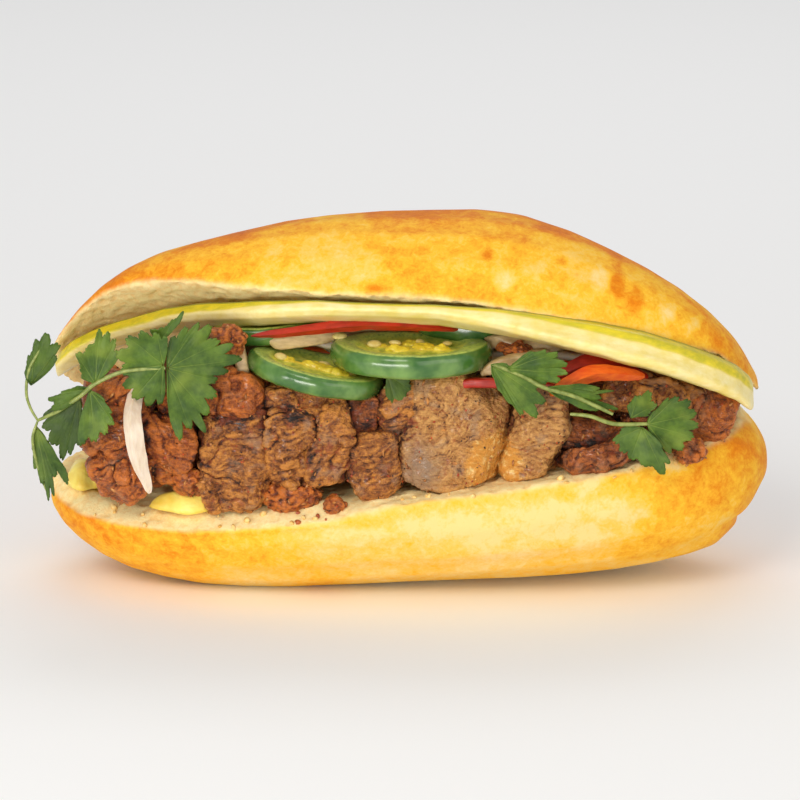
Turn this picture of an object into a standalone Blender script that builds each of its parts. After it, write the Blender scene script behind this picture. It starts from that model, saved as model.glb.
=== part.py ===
"""A banh mi sandwich: a short hinged bread roll, opened wide and filled with sliced grilled meat,
a cucumber spear, jalapeno slices, pickled carrot and daikon, and coriander sprigs.

Metres, +Z up. X runs along the roll, the mouth of the sandwich faces -Y, and the hinge of the
bread is at +Y. The origin is on the table under the middle of the sandwich.
Places are written in millimetres and turned into metres by at().
"""

import math

import bmesh
import bpy
from mathutils import Matrix, Vector, noise

MM = 0.001
CLEARANCE = 0.6 * MM  # how far a neighbour is swelled before it is cut out of a piece
FLAT_ANGLE = math.radians(2)  # faces that bend less than this are joined after a cut

# --- the bread roll ---------------------------------------------------------------------------
ROLL_HALF_LENGTH = 100 * MM
ROLL_HALF_DEPTH = 42 * MM
ROLL_STATIONS = 24
ARC_POINTS = 13
CUT_POINTS = 5

# Each table gives (place along the roll from -1 to 1, value).
BASE_PLAN_POWER = 2.9  # bluntness of the lower half's ends, seen from above
BASE_SECTION_POWER = 2.1
# Height of the lower half's fullest line, mm.
BASE_AXIS_Z = ((-1, 22), (-0.5, 27), (0, 28), (0.6, 29.5), (1, 31))
# Height of the keel of the lower half, mm. Where it is below the table, the underside is flat.
BASE_KEEL_Z = (
    (-1, 21), (-0.95, 13.4), (-0.85, 5.5), (-0.75, 1.3), (-0.55, -2.2), (-0.2, -2.3), (0.3, 0),
    (0.6, 2.2), (0.8, 6.2), (0.9, 11.6), (1, 29),
)
# Height of the lower cut's front rim, mm.
BASE_CUT_Z = ((-1, 28), (-0.85, 25.3), (-0.6, 25.1), (-0.3, 28.1), (0.15, 32.9), (0.6, 38.6), (0.87, 44), (1, 48))
BASE_SHOULDER = 30 * MM  # how far the uncut lower half would rise above its fullest line
BASE_CUT_RISE = 0.10  # slope of the lower cut, up towards the hinge
BASE_CUT_DISH = 2.5 * MM

HINGE_Y = 37 * MM
HINGE_Z = ((-1, 28), (-0.6, 31), (0, 37.5), (0.75, 43), (1, 45))  # height of the hinge line, mm
LID_HALF_LENGTH = 98.5 * MM
LID_MIDDLE_X = -1.5 * MM
LID_PLAN_POWER = 2.6
LID_OPENING = (
    (-1, 46), (-0.85, 49.5), (-0.7, 48), (-0.45, 41.5), (-0.15, 36.5), (0.3, 32), (0.6, 28.2), (0.8, 23.6),
    (0.93, 19), (1, 12),
)  # degrees
LID_THICKNESS = (
    (-1, 3), (-0.93, 5.6), (-0.85, 10.3), (-0.7, 20.3), (-0.45, 31), (-0.15, 37.5), (0.15, 38.8), (0.3, 37.4),
    (0.45, 32.9), (0.6, 26.7), (0.8, 17.6), (0.93, 8.6), (1, 4),
)  # height of the upper half's dome over its cut, mm
LID_CUT_DISH = 5 * MM
BRIDGE_HALF_LENGTH = 0.84  # the uncut crust at the back, as a share of the roll's half length
BRIDGE_HALF_DEPTH = 8 * MM
BRIDGE_OVERLAP = 8 * MM  # how far it runs into each half

# --- the filling ------------------------------------------------------------------------------
HEAP_FRONT_Y = -20 * MM
HEAP_BACK_Y = 30 * MM
MEAT_TOP_Z = ((-1, 48), (-0.6, 58), (-0.2, 59), (0.2, 60), (0.6, 60), (1, 56))  # mm
HEAP_HALF_LENGTH = 0.86
PICKLE_HALF_LENGTH = 0.70

CUCUMBER_START = -0.985
CUCUMBER_END = 0.975
CUCUMBER_DEPTH = 15 * MM
CUCUMBER_HEIGHT = (
    (-1, 6.5), (-0.9, 7.9), (-0.5, 8.4), (-0.3, 6.8), (0, 4.8), (0.15, 5.6), (0.3, 8), (0.45, 10.8),
    (0.75, 12), (1, 11),
)  # mm
CUCUMBER_INSET = (
    (-1, 12), (-0.8, 18), (-0.6, 10.8), (-0.3, 1.6), (0, -0.4), (0.45, -1.5), (0.75, -2.5), (1, -5),
)  # how far behind the lid's rim it lies, mm
CUCUMBER_OFF_CUT = 0.7 * MM

# name, centre, half sizes (along, deep, thick), roll about Y in degrees; all in mm
JALAPENO_SLICES = (
    ("jalapeno_slice_left", (-25.5, -27.5, 63.6), (18.6, 14.5, 2.7), 12.0),
    ("jalapeno_slice_right", (0.3, -27.0, 68.6), (21.6, 15.0, 3.2), 0.5),
    ("jalapeno_slice_back_left", (-39.0, -13.0, 72.6), (16.0, 11.0, 2.4), -5.0),
    ("jalapeno_slice_back_right", (16.5, -11.5, 73.2), (15.0, 10.0, 3.0), 6.0),
)
JALAPENO_RIM = 0.80  # where the hollow of the slice begins, as a share of its radius
JALAPENO_HOLLOW = 1.1 * MM

# name, route through these points, width at the middle; all in mm
CARROT_STRIPS = (
    ("carrot_strip_long", ((-43, -27.5, 71.6), (-30, -27.6, 74), (-8, -26.8, 75.4), (10, -27, 75.6)), 2.6),
    ("carrot_strip_low", ((-2, -34.5, 61.6), (20, -36, 63), (31, -35, 62.2), (44, -32, 60)), 2.8),
    ("carrot_strip_bright", ((41, -34.5, 60.4), (47, -34, 63.6), (54, -32.5, 65.6), (67, -28, 64.6)), 3.4),
    ("carrot_strip_upper", ((45.0, -29.0, 66.4), (55.0, -27.5, 67.6), (66.0, -22.0, 66.4)), 3.2),
)
DAIKON_STRIPS = (
    ("daikon_strip_hanging", ((-77.6, -37.4, 60.5), (-77.2, -39.2, 52), (-75.6, -39.8, 43.5), (-72.9, -39.6, 35)), 5.2),
    ("daikon_strip_back", ((20.0, -20.0, 71.0), (30.0, -23.5, 71.2), (42.0, -21.0, 69.4)), 4.6),
    ("daikon_strip_front", ((19.5, -30.5, 64.4), (26.0, -30.5, 67.4), (38.0, -25.0, 69.0)), 3.6),
    ("daikon_strip_under", ((-43.0, -25.0, 68.6), (-33.0, -26.0, 70.4), (-19.0, -22.0, 71.4)), 4.8),
    ("daikon_strip_left", ((-47.5, -24.0, 73.0), (-46.0, -28.0, 67.5), (-45.0, -29.0, 62.0)), 4.2),
)
STRIP_STEPS = 6

# name, centre, half sizes (along, deep, high), turn about Y and about Z in degrees, boxiness, waviness,
# seed; lengths in mm. Pieces nearer the front come first.
MEAT_PIECES = (
    ("meat_round_slice", (11.5, -30.5, 46.2), (16.8, 7.0, 18.4), 8, 6, 2.3, 0.16, 3),
    ("meat_slanted_slice", (34.6, -28.5, 46.0), (7.1, 8.5, 16.6), 16, -12, 2.6, 0.22, 5),
    ("meat_lower_left", (-48.0, -31.5, 40.4), (11.9, 7.5, 14.3), 10, 8, 2.5, 0.30, 8),
    ("meat_middle", (-32.0, -32.0, 44.6), (9.1, 7.0, 11.4), -14, 4, 2.6, 0.32, 11),
    ("meat_folded_strip", (-20.6, -32.0, 44.2), (5.0, 7.5, 13.2), 14, -10, 2.7, 0.26, 14),
    ("meat_rounded_chunk", (-9.6, -30.5, 40.6), (8.9, 7.5, 12.1), 6, 10, 2.4, 0.26, 17),
    ("meat_upper_left", (-47.6, -29.0, 58.0), (10.2, 8.0, 7.8), 12, 5, 2.5, 0.34, 20),
    ("meat_upper_middle", (-29.4, -29.5, 56.6), (11.0, 8.0, 6.9), -10, 4, 2.5, 0.36, 23),
    ("meat_tall_chunk", (-1.6, -29.0, 54.2), (6.3, 7.5, 9.3), 18, -8, 2.5, 0.30, 26),
    ("meat_small_chunk", (-12.6, -29.0, 55.0), (6.0, 7.0, 5.0), -8, 6, 2.4, 0.34, 29),
    ("meat_saucy_chunk", (-78.4, -29.5, 36.0), (10.8, 8.0, 7.1), 4, -14, 2.4, 0.36, 32),
    ("meat_left_inner", (-64.4, -29.5, 43.8), (9.3, 8.0, 10.4), -22, -6, 2.5, 0.32, 35),
    ("meat_left_upper", (-79.4, -27.0, 52.0), (10.4, 9.0, 11.2), 12, -12, 2.5, 0.34, 38),
    ("meat_left_top", (-62.0, -25.5, 62.0), (10.2, 9.0, 9.3), -6, 0, 2.5, 0.34, 41),
    ("meat_dark_inner", (49.0, -25.0, 45.4), (10.4, 7.0, 5.8), 6, 8, 2.5, 0.32, 44),
    ("meat_dark_lower", (55.6, -28.0, 39.8), (14.5, 7.5, 6.0), -9, 10, 2.6, 0.28, 47),
    ("meat_right_upper", (67.0, -21.0, 57.4), (15.6, 8.0, 6.9), 8, 14, 2.5, 0.26, 50),
    ("meat_right_end", (80.6, -15.5, 50.2), (8.4, 8.5, 8.0), 10, 22, 2.4, 0.34, 53),
    ("meat_right_inner", (67.6, -20.0, 46.4), (9.7, 7.0, 6.7), -6, 14, 2.4, 0.30, 56),
)
MEAT_CUTS = 2  # cuts along each edge of the cube that a piece starts from

# --- the coriander ----------------------------------------------------------------------------
LEAF_THICKNESS = 1.0 * MM
LEAF_SPREAD = math.radians(96)  # from the leaf's axis to its outermost lobe
LEAF_POINTS = 11
STEM_RADIUS = 0.9 * MM

# sprig: stem route, then leaves as (foot, direction in the XZ plane from +X, length, width, lean, curl).
# The lean tips the leaf's far end back (degrees), and the curl hollows it; lengths in mm.
SPRIGS = (
    (
        "coriander_left",
        ((-101.6, -36.0, 52.5), (-96.6, -38.8, 57.6), (-88.1, -40.4, 65.4), (-78.7, -41.0, 69.8), (-67.6, -41.0, 69.2)),
        (
            ((-101.0, -36.3, 53.5), 96, 20.5, 9.5, 2, 3.0),
            ((-88.4, -40.3, 64.7), 72, 15.5, 14.0, 10, 2.5),
            ((-89.5, -40.1, 63.7), -86, 14.5, 19.0, 0, 2.5),
            ((-100.9, -36.3, 53.1), -78, 21.5, 9.5, -6, 3.0),
            ((-82.3, -40.7, 69.6), 2, 16.5, 18.0, 4, 2.0),
            ((-68.2, -41.1, 69.8), 62, 16.0, 15.0, 14, 1.5),
            ((-68.2, -41.1, 69.5), 2, 23.0, 21.0, 4, 2.0),
            ((-67.8, -41.1, 69.3), -82, 19.5, 14.0, -4, 2.0),
        ),
    ),
    (
        "coriander_middle",
        ((36.0, -41.0, 63.8), (39.4, -41.2, 62.7), (44.5, -41.0, 61.4), (49.9, -40.4, 60.3)),
        (
            ((36.4, -41.0, 63.6), 196, 13.5, 15.0, -6, 1.5),
            ((36.0, -41.0, 64.0), 84, 11.5, 15.5, 14, 1.5),
            ((43.5, -41.0, 61.8), -8, 14.0, 7.5, 4, 1.0),
        ),
    ),
    (
        "coriander_right",
        ((41.6, -39.0, 55.9), (49.1, -39.3, 55.6), (56.0, -39.4, 54.1), (63.8, -39.4, 53.2)),
        (
            ((63.6, -39.4, 53.4), 2, 17.5, 17.5, 10, 2.0),
            ((63.6, -39.4, 53.4), 84, 10.8, 9.5, 16, 1.0),
            ((64.0, -39.4, 53.3), -80, 13.5, 15.5, -8, 2.0),
        ),
    ),
)

# --- colours: sRGB-like base colour, roughness ------------------------------------------------
FINISHES = {
    "bread": ((0.86, 0.50, 0.14), 0.62),
    "meat": ((0.38, 0.20, 0.10), 0.48),
    "cucumber": ((0.86, 0.83, 0.45), 0.35),
    "jalapeno": ((0.16, 0.33, 0.08), 0.25),
    "carrot": ((0.75, 0.14, 0.04), 0.35),
    "daikon": ((0.85, 0.78, 0.62), 0.35),
    "coriander": ((0.12, 0.27, 0.07), 0.45),
}


def at(point):
    """A place in metres from one written in millimetres."""
    return Vector(point) * MM


def read_table(table, place):
    """The smooth value of a table of (place, value) at a place, by a cubic through its entries."""
    last = len(table) - 1
    slopes = []
    for i in range(last + 1):
        before, after = table[max(i - 1, 0)], table[min(i + 1, last)]
        slopes.append((after[1] - before[1]) / (after[0] - before[0]))
    i = 0
    while i < last - 1 and place > table[i + 1][0]:
        i += 1
    (x0, y0), (x1, y1) = table[i], table[i + 1]
    t = min(max((place - x0) / (x1 - x0), 0.0), 1.0)
    reach = x1 - x0
    rise = (2 * t**3 - 3 * t**2 + 1) * y0 + (3 * t**2 - 2 * t**3) * y1
    return rise + reach * ((t**3 - 2 * t**2 + t) * slopes[i] + (t**3 - t**2) * slopes[i + 1])


def smooth_route(points, steps):
    """Points along a smooth curve through a few places in millimetres, in metres."""
    last = len(points) - 1
    coordinates = [[(i / last, p[axis]) for i, p in enumerate(points)] for axis in range(3)]
    return [at([read_table(table, k / steps) for table in coordinates]) for k in range(steps + 1)]


def finish(name):
    """The material of one kind of food."""
    colour, roughness = FINISHES[name]
    made = bpy.data.materials.get(name) or bpy.data.materials.new(name)
    made.use_nodes = True
    shader = made.node_tree.nodes["Principled BSDF"]
    shader.inputs["Base Color"].default_value = (*colour, 1)
    shader.inputs["Roughness"].default_value = roughness
    shader.inputs["Metallic"].default_value = 0
    made.diffuse_color = (*colour, 1)
    return made


def add_object(name, bm, food):
    """Turns a bmesh into a named object with its finish, outward normals and smooth shading.

    It is triangulated here, so that a piece and the room cut for it bend along the same edges.
    """
    bmesh.ops.remove_doubles(bm, verts=bm.verts, dist=0.02 * MM)
    bmesh.ops.dissolve_degenerate(bm, edges=bm.edges, dist=0.01 * MM)
    bmesh.ops.triangulate(bm, faces=bm.faces)
    bmesh.ops.recalc_face_normals(bm, faces=bm.faces)
    mesh = bpy.data.meshes.new(name)
    bm.to_mesh(mesh)
    bm.free()
    mesh.materials.append(finish(food))
    mesh.shade_smooth()
    mesh.set_sharp_from_angle(angle=math.radians(50))
    made = bpy.data.objects.new(name, mesh)
    bpy.context.collection.objects.link(made)
    return made


def loft(rings):
    """A closed bmesh skinned over rings of equal length, with both end rings filled."""
    bm = bmesh.new()
    loops = [[bm.verts.new(p) for p in ring] for ring in rings]
    count = len(rings[0])
    for first, second in zip(loops, loops[1:]):
        for k in range(count):
            bm.faces.new((first[k], first[(k + 1) % count], second[(k + 1) % count], second[k]))
    bm.faces.new(loops[0])
    bm.faces.new(loops[-1])
    return bm


def stations(count, start=-1.0, end=1.0):
    """Places from start to end that crowd towards both ends, where a roll turns fastest."""
    middle, reach = (start + end) / 2, (end - start) / 2
    crowd = 0.996  # stops the last ring just short of a point
    return [middle + reach * crowd * math.sin(math.pi * (k / (count - 1) - 0.5)) for k in range(count)]


def dome(place, power):
    """A share from 0 at the tips to 1 along the middle, flatter for a higher power."""
    return math.sqrt(max(1 - abs(place) ** power, 0.0))


def rounded(angle, power):
    """A point of a unit superellipse: a circle at power 2, squarer above it."""
    c, s = math.cos(angle), math.sin(angle)
    return (
        math.copysign(abs(c) ** (2 / power), c),
        math.copysign(abs(s) ** (2 / power), s),
    )


# --- bread ------------------------------------------------------------------------------------
def base_section(place):
    """The lower half's outline at a station: its crust from the back rim round to the front, then the cut."""
    half_depth = ROLL_HALF_DEPTH * dome(place, BASE_PLAN_POWER)
    axis = read_table(BASE_AXIS_Z, place) * MM
    cut = read_table(BASE_CUT_Z, place) * MM
    below, above = axis - read_table(BASE_KEEL_Z, place) * MM, BASE_SHOULDER * dome(place, 4)

    def rim_angle(height):
        """Where the crust meets the cut, measured from level at the fullest line."""
        reach = above if height > axis else below
        share = min(max((height - axis) / max(reach, 1e-6), -1), 1)
        return math.copysign(math.asin(abs(share) ** (BASE_SECTION_POWER / 2)), share)

    front, back = rim_angle(cut), rim_angle(cut + BASE_CUT_RISE * 2 * half_depth)
    crust = []
    for k in range(ARC_POINTS):
        angle = back + (-math.pi - front - back) * k / (ARC_POINTS - 1)
        y, z = rounded(angle, BASE_SECTION_POWER)
        reach = above if z > 0 else below
        crust.append((half_depth * y, max(axis + reach * z, 0.0)))
    return crust + across(crust[-1], crust[0], -BASE_CUT_DISH)


def across(start, end, dish):
    """Points between two rims over a cut face, hollowed by a dish that shrinks with the cut's width."""
    points = []
    dish *= math.dist(start, end) / (2 * ROLL_HALF_DEPTH)
    for k in range(1, CUT_POINTS):
        t = k / CUT_POINTS
        hollow = dish * math.sin(math.pi * t)
        points.append((start[0] + (end[0] - start[0]) * t, start[1] + (end[1] - start[1]) * t + hollow))
    return points


def lid_frame(place):
    """The hinge point at a station, and the lid's directions towards its front rim and out of its cut."""
    opening = math.radians(read_table(LID_OPENING, place))
    hinge = Vector((0, HINGE_Y, read_table(HINGE_Z, place) * MM))
    forward = Vector((0, -math.cos(opening), math.sin(opening)))
    outward = Vector((0, math.sin(opening), math.cos(opening)))
    return hinge, forward, outward


def lid_half_depth(place):
    """Half the lid's depth at a station."""
    return ROLL_HALF_DEPTH * dome(place, LID_PLAN_POWER)


def lid_section(place):
    """The upper half's outline at a station: its crust from the front rim over to the back, then the cut."""
    hinge, forward, outward = lid_frame(place)
    half_depth = lid_half_depth(place)
    thickness = read_table(LID_THICKNESS, place) * MM
    local = []
    for k in range(ARC_POINTS):
        y, z = rounded(math.pi * k / (ARC_POINTS - 1), 2.25)
        local.append((half_depth * y, thickness * max(z, 0.0)))
    local += across(local[-1], local[0], LID_CUT_DISH)
    outline = []
    for along, out in local:
        point = hinge + forward * (ROLL_HALF_DEPTH + along) + outward * out
        outline.append((point.y, point.z))
    return outline


def roll_half(name, section, half_length, middle):
    """One half of the roll, skinned over its stations."""
    rings = []
    for place in stations(ROLL_STATIONS):
        rings.append([Vector((middle + place * half_length, y, z)) for y, z in section(place)])
    return add_object(name, loft(rings), "bread")


def hinge_bridge(name):
    """The crust left uncut along the back: a web inside the crease that runs into both halves."""
    rings = []
    for place in stations(12):
        along = place * BRIDGE_HALF_LENGTH
        base_back, lid_back = base_section(along)[0], lid_section(along)[ARC_POINTS - 1]
        taper = dome(place, 4)
        middle_y = min(base_back[0], lid_back[0]) - BRIDGE_HALF_DEPTH * 0.8
        middle_z = (base_back[1] + lid_back[1]) / 2
        half_height = (abs(base_back[1] - lid_back[1]) / 2 + BRIDGE_OVERLAP) * taper
        ring = []
        for k in range(8):
            angle = 2 * math.pi * k / 8
            y, z = BRIDGE_HALF_DEPTH * taper * math.cos(angle), half_height * math.sin(angle)
            ring.append(Vector((along * ROLL_HALF_LENGTH, middle_y + y, middle_z + z)))
        rings.append(ring)
    return add_object(name, loft(rings), "bread")


# --- cutting pieces to fit --------------------------------------------------------------------
def swelled(source, amount=CLEARANCE):
    """A hidden copy of a piece, a little larger all round, to cut room for it out of a neighbour."""
    bm = bmesh.new()
    bm.from_mesh(source.data)
    bm.normal_update()
    moves = [v.normal * amount for v in bm.verts]
    for v, move in zip(bm.verts, moves):
        v.co += move
    mesh = bpy.data.meshes.new(source.name + "_room")
    bm.to_mesh(mesh)
    bm.free()
    cutter = bpy.data.objects.new(source.name + "_room", mesh)
    bpy.context.collection.objects.link(cutter)
    cutter.hide_render = True
    cutter.display_type = "WIRE"
    return cutter


def bounds(thing):
    """The lowest and highest corners of an object's mesh."""
    corners = [v.co for v in thing.data.vertices]
    return [Vector([pick(c[i] for c in corners) for i in range(3)]) for pick in (min, max)]


def meets(first, second):
    """Whether the boxes of two objects overlap."""
    (low_a, high_a), (low_b, high_b) = bounds(first), bounds(second)
    return all(low_a[i] < high_b[i] and low_b[i] < high_a[i] for i in range(3))


def combine(piece, other, operation):
    """Applies one Boolean to a piece's mesh. Every piece is closed, as the manifold solver needs."""
    modifier = piece.modifiers.new("combine", "BOOLEAN")
    modifier.operation = operation
    modifier.solver = "MANIFOLD"
    modifier.object = other
    bpy.context.view_layer.update()
    graph = bpy.context.evaluated_depsgraph_get()
    result = bpy.data.meshes.new_from_object(piece.evaluated_get(graph))
    piece.modifiers.remove(modifier)
    old, piece.data = piece.data, result
    bpy.data.meshes.remove(old)


def keep_largest(piece):
    """Drops the crumbs that a cut leaves beside the main body."""
    bm = bmesh.new()
    bm.from_mesh(piece.data)
    bmesh.ops.remove_doubles(bm, verts=bm.verts, dist=0.02 * MM)
    unseen, bodies = set(bm.verts), []
    while unseen:
        body, front = set(), [unseen.pop()]
        while front:
            v = front.pop()
            body.add(v)
            for edge in v.link_edges:
                other = edge.other_vert(v)
                if other in unseen:
                    unseen.remove(other)
                    front.append(other)
        bodies.append(body)
    largest = max(bodies, key=len)
    bmesh.ops.delete(bm, geom=[v for v in bm.verts if v not in largest], context="VERTS")
    bm.to_mesh(piece.data)
    bm.free()


def merge_flat_faces(piece):
    """Joins the slivers of a cut that lie in one plane, and triangulates the faces again."""
    bm = bmesh.new()
    bm.from_mesh(piece.data)
    bmesh.ops.dissolve_limit(bm, angle_limit=FLAT_ANGLE, verts=bm.verts, edges=bm.edges)
    bmesh.ops.triangulate(bm, faces=bm.faces)
    bm.to_mesh(piece.data)
    bm.free()


def fit(piece, rooms):
    """Cuts a piece back from the room of each neighbour that it would touch."""
    for room in rooms:
        if meets(piece, room):
            combine(piece, room, "DIFFERENCE")
    keep_largest(piece)
    merge_flat_faces(piece)
    return piece


# --- filling ----------------------------------------------------------------------------------
def meat_heap(name):
    """The pile of meat behind the visible slices, from the lower cut up to its uneven top."""
    rings = []
    for place in stations(13, -HEAP_HALF_LENGTH, HEAP_HALF_LENGTH):
        top = read_table(MEAT_TOP_Z, place) * MM
        share = dome(place / HEAP_HALF_LENGTH, 3.0)
        floor = read_table(BASE_CUT_Z, place) * MM - 3 * MM
        middle = (floor + top) / 2
        ring = []
        for k in range(10):
            y, z = rounded(2 * math.pi * k / 10, 3.4)
            depth = (HEAP_BACK_Y - HEAP_FRONT_Y) / 2 * share
            lump = noise.noise(Vector((place * 9, k * 0.9, 4.2))) * 1.6 * MM
            centre_y = (HEAP_BACK_Y + HEAP_FRONT_Y) / 2
            ring.append(Vector((
                place * ROLL_HALF_LENGTH,
                centre_y + depth * y + lump,
                middle + (top - floor) / 2 * share * z + lump,
            )))
        rings.append(ring)
    return add_object(name, loft(rings), "meat")


def pickle_heap(name):
    """The bundle of carrot and daikon strips that lies on the meat, behind the jalapenos."""
    rings = []
    for place in stations(10, -PICKLE_HALF_LENGTH, PICKLE_HALF_LENGTH):
        floor = read_table(MEAT_TOP_Z, place) * MM - 3 * MM
        share = dome(place / PICKLE_HALF_LENGTH, 3.0)
        top = floor + 22 * MM * share
        ring = []
        for k in range(8):
            y, z = rounded(2 * math.pi * k / 8, 3.0)
            lump = noise.noise(Vector((place * 8, k * 1.1, 9.7))) * 1.4 * MM
            ring.append(Vector((
                place * ROLL_HALF_LENGTH,
                2 * MM + 20 * MM * share * y + lump,
                (floor + top) / 2 + (top - floor) / 2 * z + lump,
            )))
        rings.append(ring)
    return add_object(name, loft(rings), "daikon")


def cucumber_spear(name):
    """A long spear of cucumber that lies against the lid's cut, its pale face turned to the front."""
    rings = []
    for place in stations(20, CUCUMBER_START, CUCUMBER_END):
        hinge, forward, outward = lid_frame(place)
        rim = ROLL_HALF_DEPTH + lid_half_depth(place)
        inset = read_table(CUCUMBER_INSET, place) * MM
        height = read_table(CUCUMBER_HEIGHT, place) * MM
        end = min((place - CUCUMBER_START) / 0.03, (CUCUMBER_END - place) / 0.012, 1.0)
        taper = 0.55 + 0.45 * math.sqrt(max(end, 0.0))
        ring = []
        for k in range(8):
            y, z = rounded(2 * math.pi * (k + 0.5) / 8, 3.6)
            deep = CUCUMBER_DEPTH / 2 * (1 + taper * y)
            low = CUCUMBER_OFF_CUT + height / 2 * (1 + taper * z)
            narrowing = 1 - 0.25 * (deep / CUCUMBER_DEPTH)
            point = hinge + forward * (rim - inset - deep) - outward * low * narrowing
            ring.append(Vector((LID_MIDDLE_X + place * LID_HALF_LENGTH, point.y, point.z)))
        rings.append(ring)
    return add_object(name, loft(rings), "cucumber")


def jalapeno_slice(name, centre, half, roll):
    """A thick oval slice of jalapeno with a shallow hollow in its upper face."""
    bm = bmesh.new()
    # share of the radius, share of the half thickness, metres of hollow
    profile = (
        (0.95, -1.0, 0),
        (1.0, 0.1, 0),
        (0.95, 1.0, 0),
        (JALAPENO_RIM, 1.0, 0),
        (JALAPENO_RIM - 0.08, 1.0, JALAPENO_HOLLOW),
    )
    turns = 16
    rings = []
    for radius, height, hollow in profile:
        ring = []
        for k in range(turns):
            angle = 2 * math.pi * k / turns
            wobble = 1 + 0.03 * math.sin(3 * angle + centre[0])
            ring.append(bm.verts.new((
                half[0] * MM * radius * wobble * math.cos(angle),
                half[1] * MM * radius * wobble * math.sin(angle),
                half[2] * MM * height - hollow,
            )))
        rings.append(ring)
    for first, second in zip(rings, rings[1:]):
        for k in range(turns):
            bm.faces.new((first[k], first[(k + 1) % turns], second[(k + 1) % turns], second[k]))
    bm.faces.new(rings[0])
    bm.faces.new(rings[-1])
    bm.transform(Matrix.Translation(at(centre)) @ Matrix.Rotation(math.radians(roll), 4, "Y"))
    return add_object(name, bm, "jalapeno")


def sweep(route, widths, sides):
    """Rings of a bar along a route, each turned square to it."""
    rings = []
    for k, point in enumerate(route):
        ahead = route[min(k + 1, len(route) - 1)] - route[max(k - 1, 0)]
        ahead.normalize()
        side = ahead.cross(Vector((0, 1, 0))).normalized()
        up = side.cross(ahead)
        ring = []
        for j in range(sides):
            angle = 2 * math.pi * (j + 0.5) / sides
            y, z = rounded(angle, 3.0)
            ring.append(point + side * y * widths[k] / 2 + up * z * widths[k] / 2)
        rings.append(ring)
    return rings


def vegetable_strip(name, points, width, food):
    """A julienne strip, thinner towards both ends."""
    route = smooth_route(points, STRIP_STEPS)
    widths = [width * MM * (0.45 + 0.55 * dome(2 * k / STRIP_STEPS - 1, 2.5)) for k in range(STRIP_STEPS + 1)]
    return add_object(name, loft(sweep(route, widths, 4)), food)


def meat_piece(name, centre, half, roll, turn, boxiness, waviness, seed):
    """A torn slice of grilled meat: a rounded block with an uneven, wavy skin."""
    bm = bmesh.new()
    bmesh.ops.create_cube(bm, size=2)
    bmesh.ops.subdivide_edges(bm, edges=bm.edges, cuts=MEAT_CUTS, use_grid_fill=True)
    shift = Vector((seed * 7.31, seed * 3.17, seed * 1.93))
    for v in bm.verts:
        way = v.co.normalized()
        radius = sum(abs(c) ** boxiness for c in way) ** (-1 / boxiness)
        lump = noise.noise(way * 1.3 + shift) + 0.45 * noise.noise(way * 3.1 + shift)
        point = way * radius * (1 + waviness * lump)
        v.co = Vector([point[i] * half[i] * MM for i in range(3)])
        v.co.y += 0.18 * half[0] * MM * point.x**2
    turned = Matrix.Rotation(math.radians(turn), 4, "Z") @ Matrix.Rotation(math.radians(roll), 4, "Y")
    bm.transform(Matrix.Translation(at(centre)) @ turned)
    return add_object(name, bm, "meat")


# --- coriander --------------------------------------------------------------------------------
def leaf_outline(length, width):
    """A fan-shaped leaf with rounded lobes, from its foot, in its own plane."""
    points = [(0.0, -STEM_RADIUS), (0.0, STEM_RADIUS)]
    for k in range(LEAF_POINTS):
        angle = LEAF_SPREAD * (1 - 2 * k / (LEAF_POINTS - 1))
        reach = 1 - 0.22 * (k % 3 == 2)
        points.append((length * reach * (0.12 + 0.88 * math.cos(angle)), width / 2 * reach * math.sin(angle)))
    return points


def leaf(foot, direction, length, width, lean, curl):
    """A closed leaf plate that springs from its foot, faces the front and curls back at its edge."""
    bm = bmesh.new()
    outline = leaf_outline(length * MM, width * MM)
    rings = []
    for side in (0.5, -0.5):
        lift = side * LEAF_THICKNESS
        ring = []
        for along, over in outline:
            far = (along**2 + over**2) / (length * MM) ** 2
            ring.append(bm.verts.new((along, -lift + curl * MM * far, over)))
        middle = bm.verts.new((0.4 * length * MM, -lift + curl * MM * 0.1, 0))
        for k in range(len(ring)):
            corners = (ring[k], ring[(k + 1) % len(ring)], middle)
            bm.faces.new(corners if side > 0 else corners[::-1])
        rings.append(ring)
    front, back = rings
    for k in range(len(front)):
        after = (k + 1) % len(front)
        bm.faces.new((front[after], front[k], back[k], back[after]))
    turned = Matrix.Rotation(-math.radians(direction), 4, "Y") @ Matrix.Rotation(math.radians(lean), 4, "Z")
    bm.transform(Matrix.Translation(at(foot)) @ turned)
    return bm


def coriander_sprig(name, stem_points, leaves):
    """A stem with its leaves grown on to it, as one solid."""
    route = smooth_route(stem_points, 6)
    sprig = add_object(name, loft(sweep(route, [2 * STEM_RADIUS] * len(route), 5)), "coriander")
    for number, placing in enumerate(leaves):
        blade = add_object(f"{name}_leaf_{number}", leaf(*placing), "coriander")
        combine(sprig, blade, "UNION")
        bpy.data.objects.remove(blade)
    keep_largest(sprig)
    return sprig


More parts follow.
